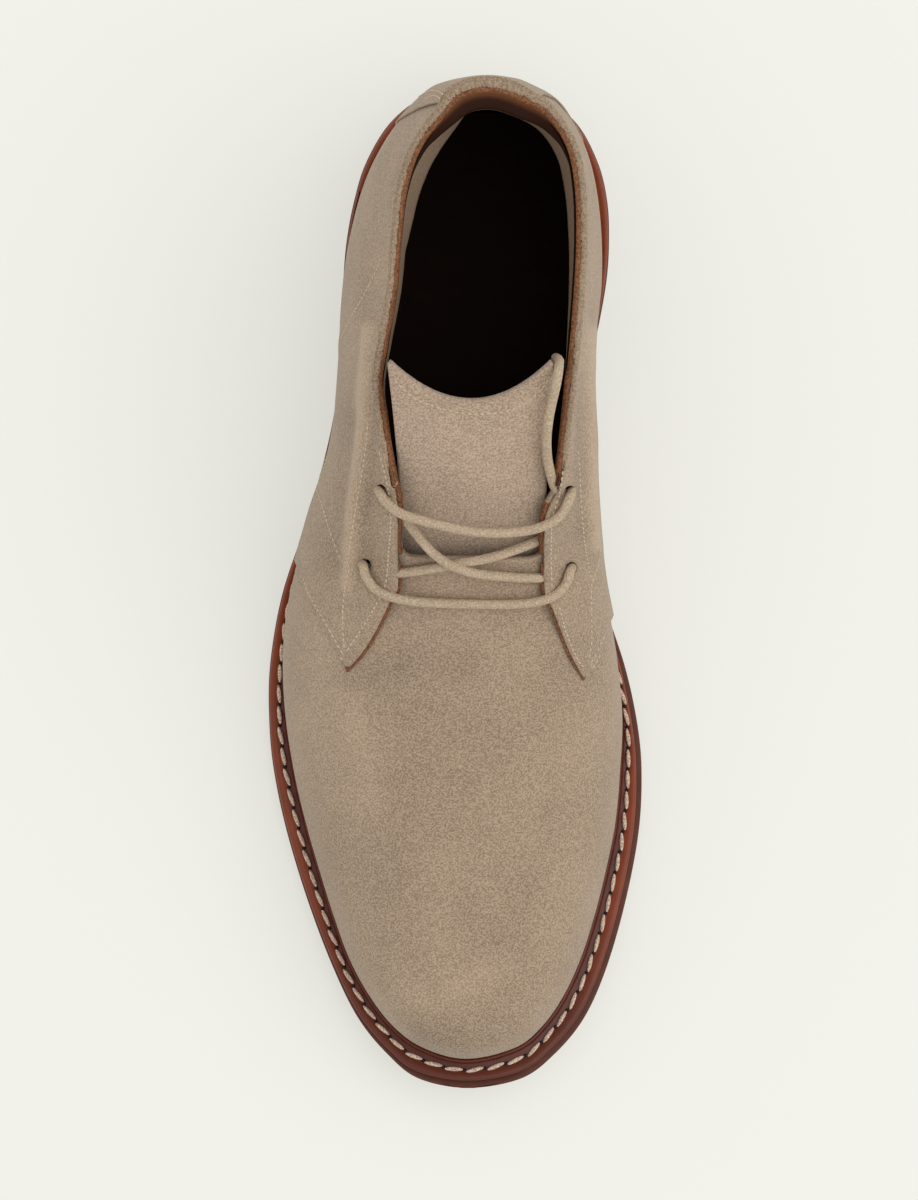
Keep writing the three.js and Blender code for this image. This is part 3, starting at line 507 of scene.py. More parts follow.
def along_line(points, pitch, shift=0.0):
    """Middles, directions and normals of stitches at equal steps along a line of (point, normal)."""
    run = [0.0]
    for (a, _), (b, _) in zip(points, points[1:]):
        run.append(run[-1] + (b - a).length)
    found = []
    count = int(run[-1] / (pitch * MM))
    for k in range(count):
        want = min(k + 0.5 + shift, count) * run[-1] / count
        i = max(j for j in range(len(run) - 1) if run[j] <= want)
        f = (want - run[i]) / max(1e-9, run[i + 1] - run[i])
        spot = points[i][0].lerp(points[i + 1][0], f)
        back, fore = points[max(0, i - 1)][0], points[min(len(points) - 1, i + 2)][0]
        found.append((spot, (fore - back).normalized(), points[i][1].lerp(points[i + 1][1], f).normalized()))
    return found


def stitches(name, lines, pitch, length, thick, lift, look, slot, nodes, sides=6, turn=0.0, shift=0.0):
    """Rows of small rounded stitches that lie on a surface."""
    bm = bmesh.new()
    dice = random.Random(name)
    for line in lines:
        for spot, forward, up in along_line(line, pitch, shift):
            across = up.cross(forward).normalized()
            up = forward.cross(across)
            axes = Matrix((forward, across, up)).transposed().to_4x4()
            tilt = Matrix.Rotation(turn + dice.uniform(-0.06, 0.06), 4, "Z")
            size = Matrix.Diagonal((length / 2, thick / 2, thick / 2.2, 1)).to_4x4()
            place = Matrix.Translation(spot + up * lift * MM) @ axes @ tilt @ size
            bmesh.ops.create_uvsphere(bm, u_segments=sides, v_segments=sides - 1, radius=MM,
                                      matrix=place @ Matrix.Rotation(math.pi / 2, 4, "Y"))
    return piece_from(bm, name, nodes, [look])


welt_line = []
for k in range(241):
    near, lip, rim, rise = welt_rails(*round_boot(mix(WELT_ROW["first"], WELT_ROW["last"], k / 240)))
    spot = lip.lerp(rim, WELT_ROW["across"])
    welt_line.append((placed(spot.x, spot.y, seat(spot.y) + SEAT_GAP + WELT_THICK), Vector((0, 0, 1))))
stitches("welt_stitches", [welt_line], **WELT_STITCH, lift=0.15, look=linen, slot="welt",
         nodes=["welt"], sides=8, turn=0.13)
# each awl hole is a near-black dot lying on the welt: painted shade where the hole goes in
awl = Look("awl_hole_painted_shade", Roughness=0.9)
awl.feed("Base Color", awl.blend(awl.noise(1.0), shade(24, 8, 5), shade(40, 16, 10)))
stitches("welt_holes", [welt_line], **WELT_HOLE_SHADE, lift=0.0, look=awl, slot="welt", nodes=["welt"],
         turn=0.3, shift=0.5)


# Insole: a board of firm leather inside the boot, on which the upper's edge is lasted. Only
# darkness shows of it from above.
INSOLE_THICK = 2.5

board = Look("dark_insole_painted_shade", Roughness=0.8, Specular_IOR_Level=0.1)
# near black: the board's dark brown leather darkened further as painted shade inside the boot
board.feed("Base Color", board.blend(board.noise(6.0, 3.0), shade(22, 12, 7), shade(34, 19, 11)))

insole_bm = slab(FOOT_ROWS, LAST_RIB, lambda u: seat(u) + SEAT_GAP + INSOLE_THICK,
                 lambda u: seat(u) + SEAT_GAP, WALL + 2 * GAP, 0, 120, 0.5)
piece_from(insole_bm, "insole_board", ["insole"], [board])


# Vamp: one piece of taupe suede, lasted over the toe from the throat forwards. Its rear edges
# run under the quarters, and a thin lining backs it.
PHOTO_FOCAL = 4980  # pixels
PHOTO_CENTRE = (459, 600)
PHOTO_PER_MM = 3.5  # pixels a millimetre at the height of the upper
CAMERA_AT = Vector((1.15, -4.3, 1500)) * MM

# plan outlines in shares of the ball width and the sole's length
THROAT = [
    (-0.156, 0.325), (-0.158, 0.350), (-0.160, 0.366), (-0.158, 0.384), (-0.150, 0.402),
    (-0.140, 0.419), (-0.1365, 0.436), (-0.136, 0.470), (-0.100, 0.4745), (0.033, 0.4765),
    (0.180, 0.4755), (0.217, 0.472), (0.217, 0.452), (0.2185, 0.4415), (0.226, 0.432),
    (0.238, 0.421), (0.255, 0.4115), (0.262, 0.402), (0.264, 0.384), (0.261, 0.356),
    (0.258, 0.325),
]
QUARTERS = [
    (-0.155, 0.325), (-0.160, 0.350), (-0.165, 0.366), (-0.166, 0.384), (-0.158, 0.402),
    (-0.1485, 0.419), (-0.145, 0.436), (-0.144, 0.470), (-0.144, 0.503), (-0.162, 0.515),
    (-0.188, 0.535), (-0.215, 0.553), (-0.241, 0.567), (-0.277, 0.582), (-0.296, 0.569),
    (-0.317, 0.554), (-0.343, 0.537), (-0.367, 0.520), (-0.389, 0.507), (-0.404, 0.490),
    (-0.420, 0.476), (-0.700, 0.460), (-0.700, -0.100), (0.700, -0.100), (0.700, 0.500),
    (0.430, 0.520), (0.398, 0.541), (0.386, 0.557), (0.376, 0.568), (0.362, 0.581),
    (0.333, 0.590), (0.299, 0.568), (0.272, 0.545), (0.245, 0.520), (0.229, 0.508),
    (0.226, 0.470), (0.226, 0.452), (0.2275, 0.4415), (0.235, 0.432), (0.247, 0.4215),
    (0.263, 0.4125), (0.268, 0.402), (0.270, 0.384), (0.264, 0.356), (0.258, 0.325),
]
# soft folds of the suede: a line of photo pixels, its reach and rise in mm, and how much paler
# it is coloured along it, a painted highlight on a ridge and painted shade in a groove
FOLDS = [
    ([(373, 330), (369, 380), (365, 430), (360, 470), (355, 510), (351, 545), (351, 585)], 1.8, 1.3, 0.42),
    ([(380, 400), (377, 440), (373, 480), (369, 520), (368, 560)], 2.4, -0.7, -0.16),
    ([(352, 420), (345, 470), (338, 520), (334, 560)], 4.0, -1.0, -0.10),
    ([(586, 330), (586, 400), (587, 450), (589, 500), (591, 545)], 1.6, 1.1, 0.36),
    ([(579, 380), (577, 430), (577, 480), (579, 530)], 2.2, -0.7, -0.14),
]
# where the free edges of the quarters stand off the vamp over the lace, in the same way
FLAPS = [
    ([(399, 515), (397.5, 588), (387, 603)], 4.5, 1.7, 0.0),
    ([(541, 528), (543, 592), (553, 609)], 4.5, 1.7, 0.0),
    ([(387, 603), (364, 648)], 2.5, 0.6, 0.0),
    ([(553, 609), (576, 660)], 2.5, 0.6, 0.0),
]
# the vamp's raised edge at the throat, and lines along which its suede is coloured paler or darker
VAMP_FOLDS = [
    ([(402, 558), (470, 554), (540, 558)], 3.0, 0.7, 0.0),
    ([(352, 700), (368, 795)], 5.0, 0.0, 0.16),
    ([(322, 640), (318, 720), (330, 800)], 5.0, 0.0, 0.12),
    ([(404, 985), (430, 1005), (478, 975)], 5.0, 0.0, 0.14),
    ([(575, 840), (560, 880)], 5.0, 0.0, 0.12),
    ([(352, 676), (400, 664), (470, 668)], 5.0, 0.0, -0.12),
    ([(420, 1036), (470, 1046), (520, 1030)], 4.0, 0.0, -0.14),
]


def distances(points, line):
    """Distance of many flat points from a line of points."""
    near = np.full(len(points), np.inf)
    for a, b in zip(np.array(line[:-1], float), np.array(line[1:], float)):
        run = b - a
        f = np.clip((points - a) @ run / max(run @ run, 1e-9), 0, 1)
        near = np.minimum(near, np.hypot(*(points - a - f[:, None] * run).T))
    return near


def photo_points(bm):
    """Where the photograph shows each vertex, in its pixels."""
    at = np.array([v.co - CAMERA_AT for v in bm.verts])
    return np.stack([PHOTO_CENTRE[0] - PHOTO_FOCAL * at[:, 0] / at[:, 2],
                     PHOTO_CENTRE[1] + PHOTO_FOCAL * at[:, 1] / at[:, 2]], axis=1)


def sheet(offset, t_from, t_to, w_from, w_to, around, rise, folds=()):
    """A grid wrapped round the boot on the upper's face, folded and moved out by offset.

    It runs from rib t_from to t_to on both sides, with the heel or the toe in its middle, and up
    each rib from w_from to w_to. Its shoulder beside the instep is smoothed.
    """
    bm = bmesh.new()
    bmesh.ops.create_grid(bm, x_segments=around, y_segments=rise, size=1)
    middle, ends = (t_from, t_to) if t_from == 0 else (t_to, t_from)
    shoulder = []
    for vert in bm.verts:
        t = mix(middle, ends, abs(vert.co.x))
        w = mix(w_from, w_to if t < CREST - 0.5 else 4.0, (vert.co.y + 1) / 2)
        p = face(t, w, -1 if vert.co.x < 0 else 1)
        if CREST - 2 < t < CREST + 1 and 0.3 < w < 3.9:
            shoulder.append(vert)
        vert.co = placed(p.x, p.y, p.z)
    for _ in range(14):
        bmesh.ops.smooth_vert(
            bm, verts=shoulder, factor=0.5, use_axis_x=True, use_axis_y=True, use_axis_z=True)
    bmesh.ops.remove_doubles(bm, verts=bm.verts, dist=0.02 * MM)
    bmesh.ops.dissolve_degenerate(bm, edges=bm.edges, dist=0.005 * MM)
    bmesh.ops.recalc_face_normals(bm, faces=bm.faces)
    if sum(f.normal.x * (f.calc_center_median().x - CAMERA_AT.x) for f in bm.faces) < 0:
        bmesh.ops.reverse_faces(bm, faces=bm.faces)
    bm.normal_update()
    seen = photo_points(bm)
    swell = np.full(len(bm.verts), float(offset))
    pale = np.zeros(len(bm.verts))
    # the last number of each fold colours the suede paler or darker along its line; along the quarters'
    # folds that is a painted highlight on a ridge and painted shade in a groove
    for line, reach, height, paler in folds:
        near = np.exp(-(distances(seen, line) / PHOTO_PER_MM / reach) ** 2)
        swell += height * near
        pale += paler * near
    wear_and_painted_light = bm.verts.layers.float.new("wear_and_painted_light")
    for vert, out, share in zip(bm.verts, swell, pale):
        vert.co += vert.normal * out * MM
        vert[wear_and_painted_light] = share
    return bm


def rounded(outline, steps=6, corner=0.75):
    """Points of a plan outline in mm, smooth between its sharp corners."""
    points = [Vector((x * BALL_WIDTH, u * SOLE_LENGTH)) for x, u in outline]
    n = len(points)
    made = []
    for i in range(n):
        a, b, c, d = (points[(i + k) % n] for k in (-1, 0, 1, 2))
        if (b - a).angle(c - b, 0) > corner:
            a = b * 2 - c
        if (c - b).angle(d - c, 0) > corner:
            d = c * 2 - b
        made += [curve(a, b, c, d, s / steps) for s in range(steps)]
    return made


def trim(bm, outline, margin=0.0, keep_inside=True):
    """Cut a sheet along a plan outline drawn in by margin, and keep one part of it."""
    points = np.array([in_plan(v.co) for v in bm.verts])
    ring = outline + outline[:1]
    odd = np.zeros(len(points), bool)
    for a, b in zip(ring, ring[1:]):
        if a.y != b.y:
            crossing = (b.x - a.x) * (points[:, 1] - a.y) / (b.y - a.y) + a.x
            odd ^= ((a.y > points[:, 1]) != (b.y > points[:, 1])) & (points[:, 0] < crossing)
    depth = np.where(odd, 1, -1) * distances(points, ring) - margin
    level = dict(zip(bm.verts, depth if keep_inside else -depth))
    for edge in [e for e in bm.edges if level[e.verts[0]] * level[e.verts[1]] < 0]:
        a, b = (level[v] for v in edge.verts)
        made, vert = bmesh.utils.edge_split(edge, edge.verts[0], a / (a - b))
        level[vert] = 0
    for part in bm.faces[:]:
        ends = [v for v in part.verts if level[v] == 0]
        if len(ends) == 2 and not bm.edges.get(ends):
            bmesh.utils.face_split(part, ends[0], ends[1])
    gone = [f for f in bm.faces if sum(level[v] for v in f.verts) < 0]
    bmesh.ops.delete(bm, geom=gone, context="FACES")


def walled(piece, thick, inner, rim):
    """Give a sheet its thickness, and its back and its cut edge their looks by number."""
    wall = piece.modifiers.new("wall", "SOLIDIFY")
    wall.thickness = thick * MM
    wall.offset = -1.0
    wall.material_offset = inner
    wall.material_offset_rim = rim


def suede(name, red, green, blue):
    """Brushed suede: a fine speckled nap, with broad patches where it lies another way."""
    look = Look(name, Roughness=0.95, Specular_IOR_Level=0.1, Sheen_Weight=0.15, Sheen_Roughness=0.6)
    nap = look.noise(0.5, 0.5)
    grit = look.noise(1.2, 2.0)
    patch = look.noise(24.0, 3.0)
    dark = shade(red * 0.77, green * 0.76, blue * 0.75)
    pale = shade(red * 1.16, green * 1.17, blue * 1.19)
    tone = nap.over(0.33, 0.67) * 0.54 + grit * 0.28 + patch.over(0.2, 0.8) * 0.18
    # plus the colour from the sheet's fold lines: painted highlight and painted shade along the folds
    tone = tone + look.node("ShaderNodeAttribute", {"attribute_name": "wear_and_painted_light"}, {}, "Fac")
    look.feed("Base Color", look.blend(tone, dark, pale))
    look.bump(nap * 0.8 + grit * 0.2, 0.7, 0.25)
    return look


throat = rounded(THROAT)
quarter_edge = rounded(QUARTERS)
taupe = suede("taupe_suede", 164, 142, 118)
# near black: painted shade on the inner faces of vamp and lining below the pale collar strip, and at the
# heel over the dark brown leather of its lining
dark_lining_painted_shade = Look("dark_lining_painted_shade", Roughness=0.8, Specular_IOR_Level=0.1)
dark_lining_painted_shade.feed("Base Color", dark_lining_painted_shade.blend(
    dark_lining_painted_shade.noise(3.0, 3.0), shade(24, 13, 8), shade(38, 22, 13)))

vamp_bm = sheet(0.0, 11.0, LAST_RIB, 0.0, 4.0, 360, 64, VAMP_FOLDS)
trim(vamp_bm, throat, keep_inside=False)
trim(vamp_bm, quarter_edge, margin=5.0, keep_inside=False)
vamp = piece_from(vamp_bm, "vamp", ["upper"], [taupe, dark_lining_painted_shade])
walled(vamp, 1.6, 1, 0)


# Quarters: two pieces of suede that lie over the vamp and end in front in pointed tabs. A thin
# tan leather backs them, and its cut edge shows all round. Two plain holes a side take the lace.
EYELETS = [
    # across, along
    (-0.187, 0.412), (-0.228, 0.481), (0.290, 0.413), (0.297, 0.484),
]
EYELET_HOLE = 3.6
LINING_ENDS = [(-90, -60), (90, -60), (90, 141), (-90, 141)]  # the backing ends under the facings

tan = Look("tan_leather", Roughness=0.6, Specular_IOR_Level=0.3)
fibre = tan.noise(0.6, 3.0)
tan.feed("Base Color", tan.blend(fibre.over(0.3, 0.7), shade(92, 54, 31), shade(146, 96, 60)))
tan.bump(fibre, 0.4, 0.2)


def hole(across, along, size):
    """Plan outline of a round hole in mm."""
    middle = Vector((across * BALL_WIDTH, along * SOLE_LENGTH))
    turns = [2 * math.pi * k / 16 for k in range(16)]
    return [middle + Vector((math.cos(a), math.sin(a))) * size / 2 for a in turns]


def with_holes(bm):
    """Punch the eyelets."""
    for across, along in EYELETS:
        trim(bm, hole(across, along, EYELET_HOLE), keep_inside=False)
    return bm


quarters_bm = sheet(OVERLAY, 0.0, 17.0, 0.17, 3.95, 460, 64, FOLDS + FLAPS)
trim(quarters_bm, quarter_edge, margin=0.1)
quarters = piece_from(with_holes(quarters_bm), "quarters", ["upper"], [taupe])
walled(quarters, 0.8, 0, 0)

lining_bm = sheet(0.0, 0.0, 13.6, 0.0, 4.0, 360, 56, FOLDS + FLAPS)
trim(lining_bm, throat, keep_inside=False)
trim(lining_bm, quarter_edge, margin=-1.2)
trim(lining_bm, [Vector(corner) for corner in LINING_ENDS])
lining = piece_from(with_holes(lining_bm), "quarter_lining", ["upper"], [tan, dark_lining_painted_shade])
walled(lining, WALL, 1, 0)

# cut edge of the backing, which stands out a little from under the suede along each tab
TAB_EDGES = {
    "lateral": [
        (-0.120, 0.480), (-0.1365, 0.480), (-0.1370, 0.504), (-0.1575, 0.5180), (-0.184, 0.5380),
        (-0.211, 0.5560), (-0.238, 0.5700), (-0.2775, 0.5850), (-0.285, 0.578), (-0.240, 0.555),
        (-0.190, 0.520), (-0.170, 0.500), (-0.165, 0.480),
    ],
    "medial": [
        (0.3325, 0.5930), (0.2950, 0.5710), (0.2680, 0.5480), (0.2410, 0.5230), (0.2220, 0.508),
        (0.2185, 0.480), (0.245, 0.480), (0.250, 0.500), (0.285, 0.540), (0.330, 0.575), (0.345, 0.584),
    ],
}
for side, outline in TAB_EDGES.items():
    tab_bm = sheet(0.42, 11.0, 17.5, 1.0, 4.0, 260, 70, FOLDS + FLAPS)
    trim(tab_bm, rounded(outline))
    walled(piece_from(tab_bm, f"tab_edge_{side}", ["upper"], [tan]), 0.38, 0, 0)


# Back panel: a suede piece stitched over the seam at the heel, from the collar down to the welt.
# Its doubled top edge is thick and stands out behind the collar.
BACK_PANEL = [
    (-0.020, 0.070), (-0.040, 0.053), (-0.083, 0.052), (-0.133, 0.056), (-0.160, 0.050),
    (-0.230, 0.075), (-0.360, 0.110), (-0.600, -0.100), (0.600, -0.100), (0.450, 0.110),
    (0.345, 0.075), (0.300, 0.050), (0.262, 0.041), (0.225, 0.040), (0.195, 0.060),
]
BACK_ROLL = [
    # as FOLDS
    ([(440, 92), (460, 84), (485, 80), (515, 85)], 4.5, 0.9, 0.0),
]

panel_bm = sheet(OVERLAY + BACK_STEP, 0.0, 7.0, 0.19, 3.92, 260, 64, BACK_ROLL)
trim(panel_bm, rounded(BACK_PANEL))
panel = piece_from(panel_bm, "back_panel", ["upper"], [taupe])
walled(panel, 0.65, 0, 0)


# Tongue: a loose piece of paler suede, sewn in under the vamp's throat and rising behind the
# laces to a hollowed top edge.
TONGUE_THICK = 2.4
TONGUE = [
    # along, up, lateral, medial, drop of its edges, how far they stand back
    (0.555, 0.583, 0.085, 0.165, 0.012, 0.000),
    (0.520, 0.637, 0.112, 0.196, 0.028, 0.000),
    (0.480, 0.712, 0.130, 0.224, 0.040, 0.000),
    (0.440, 0.805, 0.140, 0.230, 0.044, 0.000),
    (0.400, 0.893, 0.142, 0.232, 0.036, 0.006),
    (0.365, 0.965, 0.152, 0.241, 0.008, 0.020),
    (0.332, 1.022, 0.166, 0.244, -0.016, 0.036),
]
TONGUE_MIDDLE = 0.042
TONGUE_LAST = len(TONGUE) - 1

tongue_bm = bmesh.new()
bmesh.ops.create_grid(tongue_bm, x_segments=60, y_segments=100, size=1)
for vert in tongue_bm.verts:
    across, t = vert.co.x, (vert.co.y + 1) / 2 * TONGUE_LAST
    along, up, lateral, medial, drop, back = [
        smooth(column, t, 2 * column[0] - column[1], 2 * column[-1] - column[-2]) for column in zip(*TONGUE)]
    half = lateral + TONGUE_MIDDLE if across < 0 else medial - TONGUE_MIDDLE
    vert.co = placed(BALL_WIDTH * (TONGUE_MIDDLE + across * half),
                     SOLE_LENGTH * (along - back * across ** 2),
                     ANKLE_HEIGHT * (up - drop * across ** 2))
bmesh.ops.recalc_face_normals(tongue_bm, faces=tongue_bm.faces)
if sum(f.normal.z for f in tongue_bm.faces) < 0:
    bmesh.ops.reverse_faces(tongue_bm, faces=tongue_bm.faces)
tongue_tree = BVHTree.FromBMesh(tongue_bm)
pale_suede = suede("pale_tongue_suede", 178, 155, 132)
tongue = piece_from(tongue_bm, "tongue_suede", ["tongue"], [pale_suede])
walled(tongue, TONGUE_THICK, 0, 0)


# Collar: the suede's raw edge stands up as a rough rim. A leather binding is turned in beside
# it, wide at the back, over a pale lining that shows down each side. The heel's dark brown
# lining is coloured near black, as painted shade inside the boot.
RIM_SECTION = [
    # mm out from the upper's face, mm up from the collar's edge
    (1.30, -2.2), (1.45, -0.9), (1.25, -0.1), (0.75, 0.35), (0.10, 0.35), (-0.35, 0.0), (-0.50, -0.8),
]
BINDING = [
    # mm from the heel, plan width in mm of the binding, of the pale lining (lateral, medial)
    (8, 5.6, -0.6, -0.6), (15, 5.2, -0.6, -0.6), (20, 3.8, 1.2, 0.6), (26, 2.4, 3.0, 1.8),
    (34, 1.6, 3.4, 2.4), (46, 1.3, 2.6, 2.2), (56, 1.2, 1.2, 1.8), (70, 1.2, 0.8, 1.2),
    (90, 1.0, 0.6, 0.6), (125, 0.8, 0.4, 0.4),
]
BINDING_DROP = 7
LINING_DROP = 14
RIM_FLAT = (11, 24)  # mm from the heel between which the rim stops lying against the back panel
RIM_END = (110, 122)
RIM_GRAIN = {"spots": 1300, "rise": 0.5}


def collar_strip(spot_of, rows):
    """A strip round the collar; spot_of gives mm inwards and mm up for a share of its width."""
    bm = bmesh.new()
    bmesh.ops.create_grid(bm, x_segments=480, y_segments=rows, size=1)
    for vert in bm.verts:
        side = -1 if vert.co.x < 0 else 1
        t, f = abs(vert.co.x) * (CREST - 1), (vert.co.y + 1) / 2
        top = face(t, 4.0, side)
        ahead = face(min(CREST - 1, t + 0.05), 4.0, side) - face(max(0, t - 0.05), 4.0, side)
        inward = -side * Vector((ahead.y, -ahead.x)).normalized()
        if t < 0.05:
            inward = Vector((0, 1))
        away, up = spot_of(f, top.y, side)
        spot = top.xy + inward * away
        vert.co = placed(spot.x, spot.y, top.z + up)
    bmesh.ops.remove_doubles(bm, verts=bm.verts, dist=0.02 * MM)
    bmesh.ops.recalc_face_normals(bm, faces=bm.faces)
    if sum(f.normal.z for f in bm.faces) < 0:
        bmesh.ops.reverse_faces(bm, faces=bm.faces)
    return bm


def binding_width(u):
    return float(np.interp(u, [row[0] for row in BINDING], [row[1] for row in BINDING]))


def lining_width(u, side):
    return float(np.interp(u, [row[0] for row in BINDING], [row[2 if side < 0 else 3] for row in BINDING]))


def rim_spot(f, u, side):
    out, up = RIM_SECTION[round(f * (len(RIM_SECTION) - 1))]
    heel = 1 - eased(u, *RIM_FLAT)
    return -out - max(0, out) * 0.75 * heel, up - 2.0 * eased(u, *RIM_END)


def binding_spot(f, u, side):
    return 0.4 + f * binding_width(u), -0.2 - BINDING_DROP * f ** 1.3


def lining_spot(f, u, side):
    away = binding_width(u) - 0.3 + f * (0.7 + lining_width(u, side))
    return away, -0.8 - mix(BINDING_DROP, LINING_DROP, f ** 1.3)


raw_suede = suede("raw_suede_edge", 156, 134, 110)
rim_bm = collar_strip(rim_spot, len(RIM_SECTION) - 1)
rim_bm.normal_update()
for vert in rim_bm.verts:
    vert.co += vert.normal * noise.noise(vert.co * RIM_GRAIN["spots"]) * RIM_GRAIN["rise"] * MM
rim = piece_from(rim_bm, "collar_rim", ["upper"], [raw_suede])
walled(rim, 0.3, 0, 0)

collar_leather = Look("collar_leather", Roughness=0.6, Specular_IOR_Level=0.25)
# depth below the collar's edge, which slopes up to the heel; the binding is coloured darker
# with it, as painted shade inside the collar
drop = 0.1092 + collar_leather.axes[1] * 0.086 - collar_leather.axes[2]
wear = collar_leather.noise(1.0, 3.0)
collar_leather.feed("Base Color", collar_leather.blend(
    drop.over(0.0002, 0.0036), collar_leather.blend(wear, shade(108, 62, 34), shade(156, 98, 60)),
    shade(54, 27, 15)))
binding_bm = collar_strip(binding_spot, 12)
binding = piece_from(binding_bm, "collar_binding", ["upper"], [collar_leather])
walled(binding, 0.6, 0, 0)

pale_lining = Look("pale_lining", Roughness=0.85, Specular_IOR_Level=0.1)
weave = pale_lining.noise(0.8, 2.0)
pale_lining.feed("Base Color", pale_lining.blend(weave, shade(122, 100, 82), shade(154, 132, 110)))
strip_bm = collar_strip(lining_spot, 12)
strip = piece_from(strip_bm, "collar_lining", ["upper"], [pale_lining])
walled(strip, 0.5, 0, 0)

# dark sheet inside the heel: its dark brown lining, coloured near black as painted shade
heel_lining_bm = sheet(-WALL - 0.4, 0.0, 9.0, 0.2, 3.8, 160, 40)
heel_lining = piece_from(heel_lining_bm, "heel_lining", ["upper"], [dark_lining_painted_shade])
walled(heel_lining, 0.5, 0, 0)


# Seams: pale thread in short stitches, in rows along the facings, the tabs and the quarters.
# Each row is read off the photograph and laid on the suede where the camera sees it.
SEAMS = {
    "facing_lateral": [(379, 450), (385, 474), (390, 500), (391, 519), (389, 548), (386.7, 577), (384, 590)],
    "facing_medial": [(563, 470), (560, 492), (556, 505), (552, 520), (551, 545), (551, 565), (552, 590)],
    "tab_lateral": [(381, 596), (372, 612), (361, 630), (352, 643), (346.7, 652)],
    "tab_medial": [(559, 606), (563, 622), (567.6, 637), (577, 658.6), (584, 668)],
    "rear_lateral": [(368, 425), (366, 446), (362, 474), (358, 497), (354, 519), (350, 545), (347, 567)],
    "rear_medial": [(578, 450), (579.5, 475), (581.4, 508), (583.8, 537), (587, 560), (591, 580)],
    "curve_lateral": [(317, 490), (323, 508), (331, 534), (340, 557), (349, 567), (345.5, 585), (343, 608),
                      (343, 630), (344.5, 650)],
    "curve_medial": [(600, 545), (598.6, 563), (591.4, 585), (591.4, 611), (591.4, 639), (589, 660)],
    "lower_lateral_1": [(303, 577), (308, 592), (319, 612), (329, 629), (334.5, 639), (344, 656)],
    "lower_lateral_2": [(302, 588), (314, 611), (325, 630), (332, 643), (344, 663)],
    "lower_medial_1": [(590, 664), (595, 655), (600, 645), (605, 634)],
    "lower_medial_2": [(592, 669), (598, 659), (603, 648), (608, 634)],
    "quarter_lateral": [(381, 258), (374, 276), (364, 295), (352, 316), (340, 341)],
}
SEAM_STITCH = {"pitch": 1.75, "length": 1.3, "thick": 0.62, "lift": 0.02, "sides": 5, "turn": 0.12}
TONGUE_SEAM = [(394, 379), (402, 388), (414, 398), (430, 405), (450, 411), (470, 414), (500, 412.5),
               (518, 407), (533, 397), (543, 387), (549, 378)]

# rows that run on down the lateral side, as mm from the heel and mm up
SIDE_SEAMS = [
    [(74.7, 71), (79, 58), (83, 46), (85, 38)],
    [(120.5, 57.4), (115, 51), (110, 44), (107, 38)],
]
PANEL_SEAM = [
    [(419, 97), (427, 92), (436, 91), (443, 95), (445, 101)],
    [(425, 100), (432, 96), (438, 97), (441, 101)],
]


def sight(x, y):
    """Direction in which the camera sees a pixel of the photograph."""
    middle_x, middle_y = PHOTO_CENTRE
    return Vector((x - middle_x, middle_y - y, -PHOTO_FOCAL)).normalized()


def from_camera(at):
    """Start and direction of the ray through a photo pixel."""
    return CAMERA_AT, sight(*at)


def from_beside(at):
    """Start and direction of the ray to a place (mm from the heel, mm up) on the lateral side."""
    return placed(-90, *at), Vector((1, 0, 0))


def laid(line, tree, ray=from_camera, steps=12):
    """A line of flat places laid on a surface, as points with their normals."""
    points = [Vector(p) for p in line]
    points = [points[0] * 2 - points[1]] + points + [points[-1] * 2 - points[-2]]
    found = []
    for a, b, c, d in zip(points, points[1:], points[2:], points[3:]):
        for s in range(steps):
            start, way = ray(curve(a, b, c, d, s / steps))
            spot, normal = tree.ray_cast(start, way)[:2]
            if spot is not None:
                found.append((spot, -normal if normal.dot(way) > 0 else normal))
    return found


cream = Look("cream_thread", Roughness=0.8, Specular_IOR_Level=0.2)
cream.feed("Base Color", cream.blend(cream.noise(1.0), shade(186, 166, 142), shade(216, 198, 174)))

quarters_tree = BVHTree.FromObject(quarters, bpy.context.evaluated_depsgraph_get())
quarter_rows = [laid(line, quarters_tree) for line in SEAMS.values()]
quarter_rows += [laid(line, quarters_tree, from_beside) for line in SIDE_SEAMS]
stitches("quarter_seams", quarter_rows, **SEAM_STITCH, look=cream, slot="upper", nodes=["upper"])
panel_tree = BVHTree.FromObject(panel, bpy.context.evaluated_depsgraph_get())
panel_rows = [laid(line, panel_tree) for line in PANEL_SEAM]
stitches("panel_seam", panel_rows, **SEAM_STITCH, look=cream, slot="upper", nodes=["upper"])
tongue_rows = [laid(TONGUE_SEAM, tongue_tree)]
stitches("tongue_seam", tongue_rows, **SEAM_STITCH, look=cream, slot="tongue", nodes=["tongue"])


